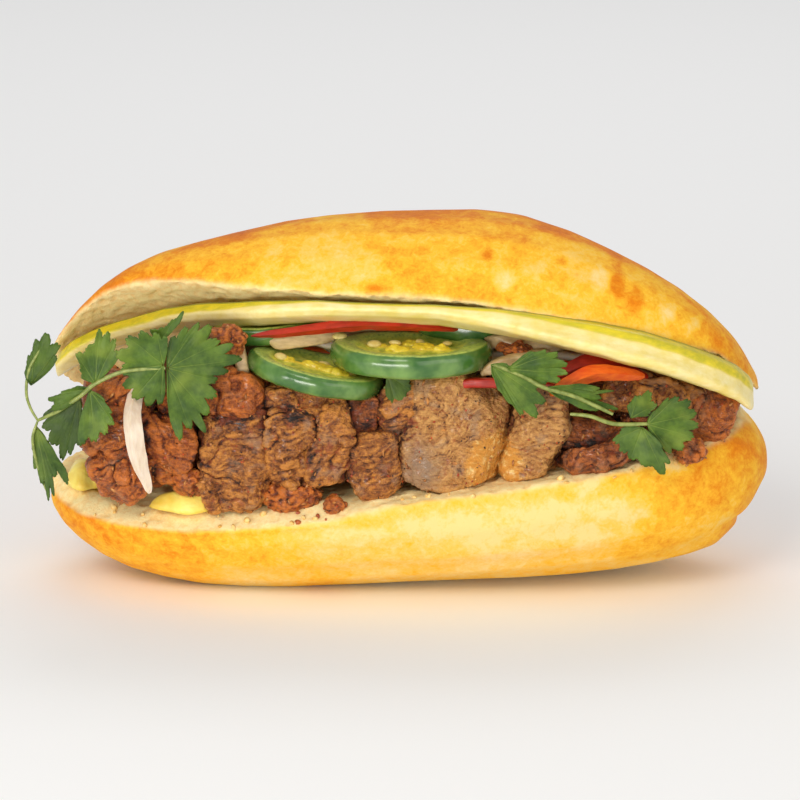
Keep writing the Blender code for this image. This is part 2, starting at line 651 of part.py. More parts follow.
def main():
    """Builds every piece, cutting each back from those that were laid before it."""
    for thing in list(bpy.data.objects):
        bpy.data.objects.remove(thing)

    bread = roll_half("bread_roll", base_section, ROLL_HALF_LENGTH, 0)
    lid = roll_half("lid", lid_section, LID_HALF_LENGTH, LID_MIDDLE_X)
    bridge = hinge_bridge("bridge")
    rooms = [swelled(half) for half in (bread, lid, bridge)]
    for half in (lid, bridge):
        combine(bread, half, "UNION")
        bpy.data.objects.remove(half)
    keep_largest(bread)

    def lay(piece):
        """Fits a piece among those already laid, and keeps its room from the next ones."""
        room = swelled(piece)
        fit(piece, rooms)
        rooms.append(room)

    lay(cucumber_spear("cucumber_spear"))
    lay(meat_heap("meat_heap"))
    for slice_facts in JALAPENO_SLICES:
        lay(jalapeno_slice(*slice_facts))
    for name, points, width in CARROT_STRIPS:
        lay(vegetable_strip(name, points, width, "carrot"))
    for name, points, width in DAIKON_STRIPS:
        lay(vegetable_strip(name, points, width, "daikon"))
    for facts in MEAT_PIECES:
        lay(meat_piece(*facts))
    lay(pickle_heap("pickle_heap"))
    for name, stem_points, leaves in SPRIGS:
        lay(coriander_sprig(name, stem_points, leaves))


main()
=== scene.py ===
"""A banh mi sandwich, dressed for rendering around its fixed frame of solids.

The bread is one torn and baked skin, the fillings are single pieces laid where the solids lie, and the
herbs, seeds, shreds and crumbs are made here at their true size. Lengths are in metres unless a name
or a comment says millimetres.
"""

import itertools
import logging
import math
import random
from dataclasses import dataclass, field
from enum import Enum
from typing import Any, Iterable, Sequence

import bmesh
import bpy
import numpy as np
from mathutils import Matrix, Vector
from mathutils.bvhtree import BVHTree


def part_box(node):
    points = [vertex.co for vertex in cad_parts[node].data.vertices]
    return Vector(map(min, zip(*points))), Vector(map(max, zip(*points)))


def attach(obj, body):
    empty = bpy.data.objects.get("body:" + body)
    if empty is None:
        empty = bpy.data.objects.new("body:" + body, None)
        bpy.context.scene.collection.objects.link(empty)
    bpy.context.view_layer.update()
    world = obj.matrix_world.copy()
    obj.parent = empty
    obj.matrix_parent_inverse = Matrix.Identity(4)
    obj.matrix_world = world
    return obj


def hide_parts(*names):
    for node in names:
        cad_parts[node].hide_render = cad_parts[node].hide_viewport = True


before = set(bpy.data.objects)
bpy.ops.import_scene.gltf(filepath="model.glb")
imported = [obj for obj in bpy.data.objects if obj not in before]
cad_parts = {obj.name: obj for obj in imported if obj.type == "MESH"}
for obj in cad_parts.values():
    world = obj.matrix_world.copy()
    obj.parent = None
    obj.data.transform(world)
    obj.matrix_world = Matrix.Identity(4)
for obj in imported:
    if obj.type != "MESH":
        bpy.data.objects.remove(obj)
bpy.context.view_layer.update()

MM = 0.001
BODY = "root"
LOG = logging.getLogger("banh_mi")
MERGE = 0.001 * MM  # points nearer than this are one
SOLID_MERGE = 0.002 * MM  # the same, for a solid's loose triangles

Table = Sequence[tuple[float, float]]


def paint(red: int, green: int, blue: int) -> tuple[float, float, float, float]:
    """A colour given as it looks on a screen, as the linear light that a shader takes.

    Args:
        red: from 0 to 255, as are green and blue.

    Returns:
        Linear red, green and blue, with full opacity.
    """
    shares = []
    for channel in (red, green, blue):
        share = channel / 255
        shares.append(share / 12.92 if share <= 0.04045 else ((share + 0.055) / 1.055) ** 2.4)
    return shares[0], shares[1], shares[2], 1.0


def read(table: Table, place: Any) -> Any:
    """The value of a table of (place, value) at one place or an array of them, straight between entries."""
    places, values = zip(*table)
    return np.interp(place, places, values)


def ease(low: float, high: float, value: np.ndarray) -> np.ndarray:
    """A smooth step from 0 at low to 1 at high."""
    share = np.clip((value - low) / (high - low), 0.0, 1.0)
    return share * share * (3 - 2 * share)


# --- noise on arrays --------------------------------------------------------------------------
HASH_STEPS = np.array((73856093, 19349663, 83492791), dtype=np.int64)


def scramble(cells: np.ndarray, seed: int) -> np.ndarray:
    """One random number from 0 to 1 for each lattice cell.

    Args:
        cells: whole numbers, one row of three for each cell.
        seed: picks another set of numbers.

    Returns:
        One number a row.
    """
    key = (cells * HASH_STEPS).sum(axis=-1) + seed * 2654435
    key = (key ^ (key >> 13)) * 1274126177
    key = (key ^ (key >> 16)) & 0xFFFFFF
    return key / 0xFFFFFF


def ripple(points: np.ndarray, size: float, seed: int, octaves: int = 3) -> np.ndarray:
    """Smooth noise from about -1 to 1 at each point.

    Args:
        points: one row of three for each point.
        size: the width of the largest lumps, in the points' unit.
        seed: picks another pattern.
        octaves: how many finer layers are added, each half as wide and half as high.

    Returns:
        One number a point.
    """
    total = np.zeros(len(points))
    for octave in range(octaves):
        place = points * (2**octave / size) + 17.3 * octave
        cell = np.floor(place).astype(np.int64)
        part = place - cell
        blend = part * part * (3 - 2 * part)
        for corner in itertools.product((0, 1), repeat=3):
            weight = np.prod(np.where(corner, blend, 1 - blend), axis=-1)
            total += weight * (scramble(cell + corner, seed + octave) * 2 - 1) * 0.5**octave
    return total


def ripples(points: np.ndarray, size: float, seed: int) -> np.ndarray:
    """Smooth noise along each axis, as one row of three for each point."""
    return np.stack([ripple(points, size, seed + axis, 2) for axis in range(3)], axis=-1)


def pebbles(points: np.ndarray, size: float, seed: int) -> tuple[np.ndarray, np.ndarray]:
    """Distance to the middle of the nearest of many scattered cells, and that cell's own number.

    Args:
        points: one row of three for each point.
        size: the usual distance between middles.
        seed: picks another pattern.

    Returns:
        The distances as shares of size, and one random number from 0 to 1 for each point's cell.
    """
    place = points / size
    cell = np.floor(place).astype(np.int64)
    best = np.full(len(points), 9.0)
    number = np.zeros(len(points))
    for step in itertools.product((-1, 0, 1), repeat=3):
        near = cell + step
        middle = near + np.stack([scramble(near, seed + axis) for axis in (1, 2, 3)], axis=-1)
        reach = np.linalg.norm(place - middle, axis=-1)
        closer = reach < best
        best = np.where(closer, reach, best)
        number = np.where(closer, scramble(near, seed + 9), number)
    return best, number


# --- meshes -----------------------------------------------------------------------------------
class Skin:
    """The points of one mesh as arrays, to be smoothed and pushed in and out."""

    def __init__(self, mesh: bpy.types.Mesh) -> None:
        """Reads the mesh's points and edges.

        Args:
            mesh: what is worked on, in metres.
        """
        self.mesh = mesh
        flat = np.empty(len(mesh.vertices) * 3)
        mesh.vertices.foreach_get("co", flat)
        self.points = flat.reshape(-1, 3)
        ends = np.empty(len(mesh.edges) * 2, dtype=np.int32)
        mesh.edges.foreach_get("vertices", ends)
        self.first, self.second = ends.reshape(-1, 2).T
        count = len(self.points)
        self.neighbours = np.maximum(
            np.bincount(self.first, minlength=count) + np.bincount(self.second, minlength=count), 1
        )

    def around(self, values: np.ndarray) -> np.ndarray:
        """The mean of each point's neighbours' values.

        Args:
            values: one number a point.

        Returns:
            One number a point.
        """
        count = len(self.points)
        total = np.bincount(self.first, values[self.second], count)
        total += np.bincount(self.second, values[self.first], count)
        return total / self.neighbours

    def smooth(self, rounds: int, share: float = 0.5) -> "Skin":
        """Draws each point towards its neighbours, again and again.

        Args:
            rounds: how often.
            share: how far each time.

        Returns:
            Itself.
        """
        for _ in range(rounds):
            means = np.stack([self.around(self.points[:, axis]) for axis in range(3)], axis=-1)
            self.points += (means - self.points) * share
        return self

    def spread(self, values: np.ndarray, rounds: int) -> np.ndarray:
        """Blurs a value of each point over the surface.

        Args:
            values: one number a point.
            rounds: how often.

        Returns:
            One number a point.
        """
        for _ in range(rounds):
            values = (values + self.around(values)) / 2
        return values

    def normals(self) -> np.ndarray:
        """The outward direction at each point.

        Returns:
            One row of three for each point.
        """
        self.write()
        flat = np.empty(len(self.points) * 3)
        self.mesh.vertex_normals.foreach_get("vector", flat)
        return flat.reshape(-1, 3)

    def push(self, heights: np.ndarray) -> "Skin":
        """Moves each point outwards by its height."""
        self.points += self.normals() * heights[:, None]
        return self

    def hollows(self, rounds: int, depth: float) -> np.ndarray:
        """How far each point lies below the surface around it.

        Args:
            rounds: how far around it looks, in steps of one edge.
            depth: the depth that counts as 1.

        Returns:
            One number a point, from -1 on a ridge to 1 in a crevice.
        """
        mean = np.stack([self.spread(self.points[:, axis].copy(), rounds) for axis in range(3)], axis=-1)
        return np.clip(((mean - self.points) * self.normals()).sum(axis=-1) / depth, -1.0, 1.0)

    def store(self, name: str, values: np.ndarray) -> "Skin":
        """Keeps one number a point, for the finish to read.

        Args:
            name: the attribute's name.
            values: the numbers.

        Returns:
            Itself.
        """
        layer = self.mesh.attributes.get(name) or self.mesh.attributes.new(name, "FLOAT", "POINT")
        layer.data.foreach_set("value", np.asarray(values, dtype=np.float32))
        return self

    def write(self) -> None:
        """Puts the points back into the mesh."""
        self.mesh.vertices.foreach_set("co", self.points.ravel())
        self.mesh.update()


def mesh_of(name: str, bm: bmesh.types.BMesh) -> bpy.types.Mesh:
    """A mesh of what was built, and the end of what it was built in.

    Args:
        name: the mesh's name.
        bm: what was built; it is used up.

    Returns:
        The mesh.
    """
    mesh = bpy.data.meshes.new(name)
    bm.to_mesh(mesh)
    bm.free()
    return mesh


def gathered(meshes: Iterable[bpy.types.Mesh]) -> bmesh.types.BMesh:
    """Several meshes side by side, to be worked on. Their points' stored numbers are kept.

    Args:
        meshes: what is gathered; they stay as they are.

    Returns:
        The working copy.
    """
    bm = bmesh.new()
    for mesh in meshes:
        bm.from_mesh(mesh)
    return bm


def tree_of(meshes: Iterable[bpy.types.Mesh]) -> BVHTree:
    """A tree of all the faces of several meshes, which finds the nearest one.

    Args:
        meshes: what it is made of.

    Returns:
        The tree.
    """
    bm = gathered(meshes)
    tree = BVHTree.FromBMesh(bm)
    bm.free()
    return tree


def lumps(name: str, places: Iterable[Matrix], rounds: int) -> bpy.types.Mesh:
    """Balls of radius 1 in one mesh, each set and stretched by its own matrix.

    Args:
        name: the mesh's name.
        places: one matrix for each.
        rounds: how often their faces are divided.

    Returns:
        The mesh.
    """
    bm = bmesh.new()
    for place in places:
        bmesh.ops.create_icosphere(bm, subdivisions=rounds, radius=1, matrix=place)
    return mesh_of(name, bm)


def sized(half: Iterable[float], unit: float = MM) -> Matrix:
    """The matrix that gives a ball of radius 1 its half sizes."""
    return Matrix.Diagonal([*(size * unit for size in half), 1])


def in_scene(name: str, data: Any) -> bpy.types.Object:
    """Puts a new object into the scene, at the origin.

    Args:
        name: its name.
        data: its mesh, light or camera.

    Returns:
        The object.
    """
    made = bpy.data.objects.new(name, data)
    bpy.context.scene.collection.objects.link(made)
    return made


def lay(name: str, mesh: bpy.types.Mesh, finish: bpy.types.Material,
        nodes: Iterable[str] = ()) -> None:
    """Lays a finished, smooth-shaded piece on the sandwich and reports it.

    Args:
        name: the piece's name.
        mesh: its shape, in place.
        finish: its only material.
        nodes: the solids that it stands for.
    """
    mesh.materials.clear()
    mesh.materials.append(finish)
    mesh.polygons.foreach_set("material_index", [0] * len(mesh.polygons))
    mesh.shade_smooth()
    piece = in_scene(name, mesh)
    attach(piece, BODY)
    stood_for = list(nodes)
    if stood_for:
        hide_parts(*stood_for)
    LOG.info("%s: %d faces", piece.name, len(mesh.polygons))


def baked(thing: bpy.types.Object) -> bpy.types.Mesh:
    """A plain mesh of an object with its modifiers applied.

    Args:
        thing: the object; it is removed.

    Returns:
        The mesh.
    """
    bpy.context.view_layer.update()
    graph = bpy.context.evaluated_depsgraph_get()
    mesh = bpy.data.meshes.new_from_object(thing.evaluated_get(graph))
    bpy.data.objects.remove(thing)
    return mesh


def solid_copy(node: str) -> bpy.types.Mesh:
    """A copy of a solid's mesh with its loose triangles joined.

    Args:
        node: the solid's name.

    Returns:
        The copy.
    """
    bm = gathered([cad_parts[node].data])
    bmesh.ops.remove_doubles(bm, verts=bm.verts, dist=SOLID_MERGE)
    return mesh_of(node + "_copy", bm)


def remeshed(mesh: bpy.types.Mesh, voxel: float) -> bpy.types.Mesh:
    """A closed even skin over a mesh.

    Args:
        mesh: closed; it is used up.
        voxel: the size of the new faces.

    Returns:
        The new mesh.
    """
    thing = in_scene("remesh", mesh)
    modifier = thing.modifiers.new("remesh", "REMESH")
    modifier.mode = "VOXEL"
    modifier.voxel_size = voxel * 1.0
    return baked(thing)


def turned_mesh(name: str, rows: Sequence[Sequence[Vector]]) -> bpy.types.Mesh:
    """A closed mesh over rings of points.

    Args:
        name: the mesh's name.
        rows: rings with equally many points. The first and the last are drawn together at one point.

    Returns:
        The mesh, with its faces turned outwards.
    """
    bm = bmesh.new()
    loops = [[bm.verts.new(point) for point in row] for row in rows]
    for lower, upper in zip(loops, loops[1:]):
        for k in range(len(lower)):
            after = (k + 1) % len(lower)
            bm.faces.new((lower[k], lower[after], upper[after], upper[k]))
    bmesh.ops.remove_doubles(bm, verts=bm.verts, dist=MERGE)
    bmesh.ops.recalc_face_normals(bm, faces=bm.faces)
    return mesh_of(name, bm)


def joined(name: str, meshes: Iterable[bpy.types.Mesh]) -> bpy.types.Mesh:
    """One mesh of several. Their points' stored numbers are kept."""
    return mesh_of(name, gathered(meshes))


# --- shader maths -----------------------------------------------------------------------------
class Flow:
    """One value that runs through a tree of nodes. Sums and products of it add Math nodes."""

    def __init__(self, graph: "Wiring", socket: bpy.types.NodeSocket) -> None:
        """Wraps a node's output socket."""
        self.graph = graph
        self.socket = socket

    def _math(self, operation: str, first: Any, second: Any) -> "Flow":
        """A Math node on two values or links."""
        return self.graph.node("ShaderNodeMath", {"operation": operation}, {0: first, 1: second})

    def __add__(self, other: Any) -> "Flow":
        """Sum."""
        return self._math("ADD", self, other)

    __radd__ = __add__

    def __sub__(self, other: Any) -> "Flow":
        """Difference."""
        return self._math("SUBTRACT", self, other)

    def __rsub__(self, other: Any) -> "Flow":
        """Difference from a plain number."""
        return self._math("SUBTRACT", other, self)

    def __mul__(self, other: Any) -> "Flow":
        """Product."""
        return self._math("MULTIPLY", self, other)

    __rmul__ = __mul__

    def power(self, exponent: float) -> "Flow":
        """This value to a power."""
        return self._math("POWER", self, exponent)

    def step(self, low: float, high: float) -> "Flow":
        """A smooth step from 0 at low to 1 at high."""
        sockets = {"Value": self, "From Min": low, "From Max": high}
        return self.graph.node("ShaderNodeMapRange", {"interpolation_type": "SMOOTHSTEP"}, sockets)

    def tint(self, low: Any, high: Any) -> "Flow":
        """A colour between two, by this value as the share of the second."""
        return self.graph.blend(self, low, high)


class Wiring:
    """A node tree that is put together in code."""

    def __init__(self, tree: bpy.types.NodeTree) -> None:
        """Starts on an empty tree."""
        self.tree = tree

    def node(self, kind: str, settings: dict[str, Any], sockets: dict[Any, Any], output: Any = 0) -> Flow:
        """Adds one node.

        Args:
            kind: the node's type.
            settings: its own settings. "stops" gives a ramp's places and colours.
            sockets: values or flows for its inputs, by name or number.
            output: which of its outputs is wanted, by name or number.

        Returns:
            The flow from that output.
        """
        made = self.tree.nodes.new(kind)
        for name, value in settings.items():
            if name == "stops":
                self._set_stops(made.color_ramp, value)
            else:
                setattr(made, name, value)
        for name, value in sockets.items():
            self.feed(made.inputs[name], value)
        return Flow(self, made.outputs[output])

    @staticmethod
    def _set_stops(ramp: bpy.types.ColorRamp, stops: Sequence[tuple[float, tuple[float, ...]]]) -> None:
        """Gives a ramp its places and colours.

        Args:
            ramp: a new ramp.
            stops: the places and colours, in rising order.
        """
        while len(ramp.elements) < len(stops):
            ramp.elements.new(1.0)
        for element, (place, colour) in zip(ramp.elements, stops):
            element.position = place
            element.color = colour

    def feed(self, socket: bpy.types.NodeSocket, value: Any) -> None:
        """Links a flow to a socket, or sets the socket's own value.

        Args:
            socket: an input.
            value: a flow or a plain value.
        """
        if isinstance(value, Flow):
            self.tree.links.new(value.socket, socket)
        else:
            socket.default_value = value


class Graph(Wiring):
    """The nodes of one material, around one Principled shader."""

    def __init__(self, name: str) -> None:
        """Starts an empty material.

        Args:
            name: its name.
        """
        self.material = bpy.data.materials.new(name)
        self.material.use_nodes = True
        super().__init__(self.material.node_tree)
        self.tree.nodes.clear()

    def place(self, stretch: tuple[float, float, float] = (1.0, 1.0, 1.0)) -> Flow:
        """The object's own coordinates in metres.

        Args:
            stretch: what each axis is multiplied by.

        Returns:
            The coordinates.
        """
        here = self.node("ShaderNodeTexCoord", {}, {}, "Object")
        if stretch == (1.0, 1.0, 1.0):
            return here
        return self.node("ShaderNodeVectorMath", {"operation": "MULTIPLY"}, {0: here, 1: stretch})

    def stored(self, name: str) -> Flow:
        """A number that was stored on the mesh's points."""
        return self.node("ShaderNodeAttribute", {"attribute_name": name}, {}, "Fac")

    def grain(self, size: float, detail: float = 3.0, roughness: float = 0.5, twist: float = 0.0,
              place: Flow | None = None) -> Flow:
        """Noise from 0 to 1.

        Args:
            size: about how wide its lumps are, in metres.
            detail: how many finer layers it has.
            roughness: how strong those are.
            twist: how far it is distorted.
            place: coordinates other than the object's own.

        Returns:
            The noise.
        """
        sockets = {"Vector": place or self.place(), "Scale": 1 / size, "Detail": detail,
                   "Roughness": roughness, "Distortion": twist}
        return self.node("ShaderNodeTexNoise", {}, sockets, 0)

    def cells(self, size: float) -> Flow:
        """Distance to the nearest middle of scattered cells about as wide as size, in metres."""
        return self.node("ShaderNodeTexVoronoi", {}, {"Vector": self.place(), "Scale": 1 / size}, "Distance")

    def blend(self, share: Any, low: Any, high: Any) -> Flow:
        """Two colours mixed.

        Args:
            share: of the second, from 0 to 1.
            low: the first colour.
            high: the second colour.

        Returns:
            The mixed colour.
        """
        made = self.tree.nodes.new("ShaderNodeMix")
        made.data_type = "RGBA"
        made.clamp_factor = True
        for number, value in ((0, share), (6, low), (7, high)):
            self.feed(made.inputs[number], value)
        return Flow(self, made.outputs[2])

    def ramp(self, share: Flow, stops: Sequence[tuple[float, tuple[float, ...]]]) -> Flow:
        """A colour read from a ramp."""
        return self.node("ShaderNodeValToRGB", {"stops": stops}, {"Fac": share})

    def relief(self, height: Flow, depth: float, strength: float = 1.0) -> Flow:
        """A normal from a height of 0 to 1, where 1 stands for depth in metres."""
        return self.node("ShaderNodeBump", {}, {"Height": height, "Distance": depth, "Strength": strength})

    def finish(self, **sockets: Any) -> bpy.types.Material:
        """Closes the material with its Principled shader.

        Args:
            **sockets: values or flows for the shader's inputs, with _ for each space in a name.

        Returns:
            The material.
        """
        shader = self.tree.nodes.new("ShaderNodeBsdfPrincipled")
        for name, value in sockets.items():
            self.feed(shader.inputs[name.replace("_", " ")], value)
        out = self.tree.nodes.new("ShaderNodeOutputMaterial")
        self.tree.links.new(shader.outputs[0], out.inputs[0])
        return self.material


# --- finishes ---------------------------------------------------------------------------------
@dataclass(frozen=True)
class BreadFinish:
    """Baked crust and torn crumb, told apart by the numbers stored on the roll's skin."""

    dark: tuple = paint(208, 104, 14)
    brown: tuple = paint(230, 134, 14)
    golden: tuple = paint(248, 190, 50)
    pale: tuple = paint(246, 202, 102)
    cream: tuple = paint(246, 212, 138)
    crumb: tuple = paint(255, 233, 172)
    # painted shade: the darker crumb colour that is put in its pits
    crumb_pit: tuple = paint(250, 211, 140)

    def build(self) -> bpy.types.Material:
        """Makes the material.

        Returns:
            The material.
        """
        g = Graph("roll_crust_and_crumb")
        mottle = (g.grain(3.2 * MM, 4.0, 0.7, 0.4) - 0.5) * 0.75
        mottle = mottle + (g.grain(9 * MM, 4.0, 0.6, 0.5) - 0.5) * 0.6
        # the stored tone is how far the crust is baked, with paler patches that are partly painted highlight
        bake = g.stored("bake") + mottle + (g.grain(0.8 * MM, 3.0, 0.7) - 0.5) * 0.35
        crust = g.ramp(bake, (
            (0.0, self.cream), (0.17, self.pale), (0.38, self.golden), (0.72, self.brown), (1.0, self.dark),
        ))
        fleck = 1 - g.cells(3.1 * MM).step(0.06, 0.3)
        crust = g.blend(fleck * g.grain(8 * MM).step(0.5, 0.7) * 0.3, crust, self.brown)
        # painted shade: the crumb is painted darker in its pits and in scattered patches, for the shade in
        # its holes
        pits = g.grain(1.8 * MM, 5.0, 0.65).step(0.34, 0.6)
        crumb = (pits * 0.7 + (1 - g.stored("pit")) * 0.3).tint(self.crumb_pit, self.crumb)
        cut = g.stored("crumb")
        height = cut.tint(
            g.grain(0.7 * MM, 4.0, 0.65) * 0.5 + g.grain(3.5 * MM, 4.0, 0.6) * 0.8,
            g.grain(0.9 * MM, 5.0, 0.7) * 1.6,
        )
        return g.finish(
            Base_Color=cut.tint(crust, crumb),
            Roughness=cut * 0.3 + 0.58 + (g.grain(6 * MM) - 0.5) * 0.2,
            Specular_IOR_Level=0.14,
            Subsurface_Weight=0.06,
            Subsurface_Radius=(0.004, 0.002, 0.001),
            Subsurface_Scale=1.0,
            Normal=g.relief(height, 0.35 * MM, 0.55),
        )


@dataclass(frozen=True)
class MeatFinish:
    """Grilled meat: fine fibres, painted shade in crevices and gaps, and painted highlight on ridges."""

    name: str
    # ridge is the lighter tone, also painted on ridges as highlight; crevice, the darkest, is painted shade
    ridge: tuple
    body: tuple
    crevice: tuple
    oil: tuple = paint(156, 66, 22)
    grey: tuple = paint(160, 128, 100)
    grey_share: float = 0.45
    fat: tuple = paint(222, 150, 54)
    # painted highlight on the fat
    fat_light: tuple = paint(250, 212, 130)
    gloss: float = 0.42

    def build(self) -> bpy.types.Material:
        """Makes the material.

        Returns:
            The material.
        """
        g = Graph(self.name)
        fibre = g.grain(0.8 * MM, 4.0, 0.62, 0.7, g.place((0.3, 1.0, 1.0)))
        speck = g.grain(0.55 * MM, 3.0, 0.7)
        mottle = g.grain(5 * MM, 4.0, 0.65, 0.6)
        low = g.stored("hollow")
        gap = g.stored("gap")
        # painted shade: hollows and gaps between pieces pull the tone towards crevice; painted highlight:
        # ridges pull it towards ridge
        tone = mottle * 1.2 + fibre * 1.2 + speck * 0.9 - low * 0.75 - gap * 0.55 - 1.1
        colour = g.ramp(tone, ((0.06, self.crevice), (0.4, self.body), (0.9, self.ridge)))
        oil = (g.grain(3.2 * MM, 4.0, 0.65, 0.5) + low * 0.12 + gap * 0.1).step(0.54, 0.68)
        colour = g.blend(oil * 0.5, colour, self.oil)
        grey = g.grain(7 * MM, 3.0, 0.55, 0.4).step(0.53, 0.66) * self.grey_share + g.stored("ash") * 0.8
        colour = g.blend(grey * (1 - low.step(-0.1, 0.6)) * (1 - gap), colour, self.grey)
        jelly = (g.stored("fat") + (g.grain(2.5 * MM, 4.0, 0.6, 0.6) - 0.5) * 0.9).step(0.16, 0.46)
        # painted highlight: pale spots on the fat
        fat = g.grain(1.6 * MM, 3.0).step(0.5, 0.72).tint(self.fat, self.fat_light)
        colour = g.blend(jelly * 0.85, colour, fat)
        height = fibre * 1.0 + speck * 0.7 + g.cells(1.7 * MM) * 0.3
        return g.finish(
            Base_Color=colour,
            Roughness=g.grain(2 * MM) * 0.34 + self.gloss - 0.08,
            Coat_Weight=g.grain(1.6 * MM, 3.0).step(0.48, 0.7) * 0.55,
            Coat_Roughness=0.16,
            Subsurface_Weight=0.04,
            Subsurface_Radius=(0.003, 0.001, 0.0005),
            Normal=g.relief(height, 0.75 * MM, 1.0),
        )


@dataclass(frozen=True)
class CucumberFinish:
    """Wet cucumber: pale flesh with a yellow-green peel along one edge."""

    flesh: tuple = paint(246, 230, 168)
    deep: tuple = paint(232, 208, 106)
    peel: tuple = paint(230, 206, 26)
    peel_dark: tuple = paint(186, 176, 26)
    rim: tuple = paint(112, 124, 30)

    def build(self) -> bpy.types.Material:
        """Makes the material. "peel" is 1 on the peel, and "edge" rises along the lower edge.

        Returns:
            The material.
        """
        g = Graph("cucumber_flesh_and_peel")
        peel = g.stored("peel")
        streak = g.grain(1.6 * MM, 4.0, 0.6, 0.2, g.place((0.2, 1.0, 1.0)))
        flesh = (g.grain(5 * MM, 4.0) * 0.6 + streak * 0.5).step(0.3, 0.8).tint(self.deep, self.flesh)
        skin = (streak * 0.7 + g.grain(7 * MM) * 0.4).step(0.35, 0.75).tint(self.peel_dark, self.peel)
        seam = peel.step(0.05, 0.5) * (1 - peel.step(0.5, 0.95))
        colour = g.blend(seam * 0.5, peel.step(0.3, 0.7).tint(flesh, skin), self.deep)
        rim = (g.stored("rim") + (streak - 0.5) * 0.4).step(0.45, 0.8)
        colour = g.blend(g.stored("edge") * 0.6, g.blend(rim * 0.75, colour, self.rim), self.peel_dark)
        return g.finish(
            Base_Color=colour,
            Roughness=0.3 + g.grain(4 * MM) * 0.16,
            Coat_Weight=0.25,
            Coat_Roughness=0.15,
            Subsurface_Weight=0.12,
            Subsurface_Radius=(0.004, 0.003, 0.0015),
            Normal=g.relief(streak * 0.6 + g.grain(0.8 * MM) * 0.5, 0.25 * MM, 0.5),
        )


@dataclass(frozen=True)
class PepperFinish:
    """Jalapeno: dark glossy peel with painted sheen, a lighter cut wall and a yellow-green core."""

    peel: tuple = paint(50, 96, 34)
    # the paler green: on the peel partly its own colour and partly painted sheen, on the cut wall its darker
    # tone
    peel_light: tuple = paint(116, 152, 74)
    wall: tuple = paint(192, 208, 104)
    core_low: tuple = paint(158, 176, 64)
    core: tuple = paint(228, 228, 96)
    pith: tuple = paint(250, 226, 80)

    def build(self) -> bpy.types.Material:
        """Makes the material. "zone" is 0 on the peel, 1 on the wall, 2 in the core and 3 on the pith.

        Returns:
            The material.
        """
        g = Graph("jalapeno_peel_and_core")
        zone = g.stored("zone")
        # painted sheen: the peel is mottled towards a paler green, partly its own colour and partly sheen
        mottle = g.grain(7 * MM, 3.0).step(0.35, 0.8)
        peel = mottle.tint(self.peel, self.peel_light)
        wall = g.grain(0.9 * MM, 3.0).step(0.2, 0.6).tint(self.peel_light, self.wall)
        core = g.grain(2.2 * MM, 4.0).step(0.3, 0.65).tint(self.core_low, self.core)
        colour = zone.step(0.3, 0.8).tint(peel, wall)
        colour = zone.step(1.2, 1.9).tint(colour, core)
        colour = zone.step(2.3, 2.9).tint(colour, self.pith)
        return g.finish(
            Base_Color=colour,
            Roughness=0.2 + zone.step(0.3, 1.0) * 0.14,
            Coat_Weight=0.4,
            Coat_Roughness=0.1,
            Subsurface_Weight=0.08,
            Subsurface_Radius=(0.0015, 0.003, 0.001),
            Normal=g.relief(
                g.grain(1.1 * MM, 4.0) * zone.step(0.3, 1.0) + g.grain(6 * MM) * 0.4, 0.3 * MM, 0.6,
            ),
        )


@dataclass(frozen=True)
class StripFinish:
    """A moist pickled julienne strip, streaked along its length."""

    name: str
    light: tuple
    deep: tuple
    clear: float = 0.2
    stretch: tuple = (0.25, 1.0, 1.0)

    def build(self) -> bpy.types.Material:
        """Makes the material.

        Returns:
            The material.
        """
        g = Graph(self.name)
        streak = g.grain(1.0 * MM, 4.0, 0.6, 0.2, g.place(self.stretch))
        colour = (streak * 0.6 + g.grain(7 * MM, 2.0) * 0.6).step(0.35, 0.85).tint(self.deep, self.light)
        return g.finish(
            Base_Color=colour,
            Roughness=0.3 + streak * 0.2,
            Coat_Weight=0.16,
            Coat_Roughness=0.12,
            Subsurface_Weight=self.clear,
            Subsurface_Radius=(0.003, 0.002, 0.001),
            Normal=g.relief(streak, 0.2 * MM, 0.5),
        )


@dataclass(frozen=True)
class LeafFinish:
    """Fresh coriander leaf: mid green between paler veins."""

    blade: tuple = paint(94, 122, 34)
    shade: tuple = paint(44, 74, 16)
    sun: tuple = paint(146, 164, 60)
    vein: tuple = paint(138, 156, 64)
    dark: tuple = paint(26, 44, 12)

    def build(self) -> bpy.types.Material:
        """Makes the material. "vein" is 1 along the veins, and "shade" is how dark the leaf is.

        Returns:
            The material.
        """
        g = Graph("coriander_leaf")
        vein = g.stored("vein")
        mottle = g.grain(6 * MM, 3.0) * 0.85 + g.grain(1.0 * MM) * 0.25
        blade = mottle.step(0.3, 0.8).tint(self.shade, self.blade)
        blade = g.blend(g.grain(10 * MM, 2.0).step(0.5, 0.75) * 0.5, blade, self.sun)
        colour = g.blend(vein.step(0.35, 1.0) * 0.4, blade, self.vein)
        return g.finish(
            Base_Color=g.blend(g.stored("shade") * 0.8, colour, self.dark),
            Roughness=0.46 + g.grain(3 * MM) * 0.12,
            Specular_IOR_Level=0.35,
            Subsurface_Weight=0.1,
            Subsurface_Radius=(0.001, 0.002, 0.0005),
            Normal=g.relief(g.grain(0.9 * MM, 3.0) * 0.5 - vein * 0.5, 0.2 * MM, 0.6),
        )


@dataclass(frozen=True)
class SauceFinish:
    """A thick glossy spread."""

    name: str
    light: tuple
    deep: tuple

    def build(self) -> bpy.types.Material:
        """Makes the material.

        Returns:
            The material.
        """
        g = Graph(self.name)
        return g.finish(
            Base_Color=g.grain(5 * MM, 3.0).step(0.3, 0.7).tint(self.deep, self.light),
            Roughness=0.36,
            Coat_Weight=0.15,
            Coat_Roughness=0.15,
            Subsurface_Weight=0.2,
            Subsurface_Radius=(0.003, 0.0025, 0.001),
            Normal=g.relief(g.grain(3 * MM, 4.0, 0.6, 0.8), 0.5 * MM, 0.6),
        )


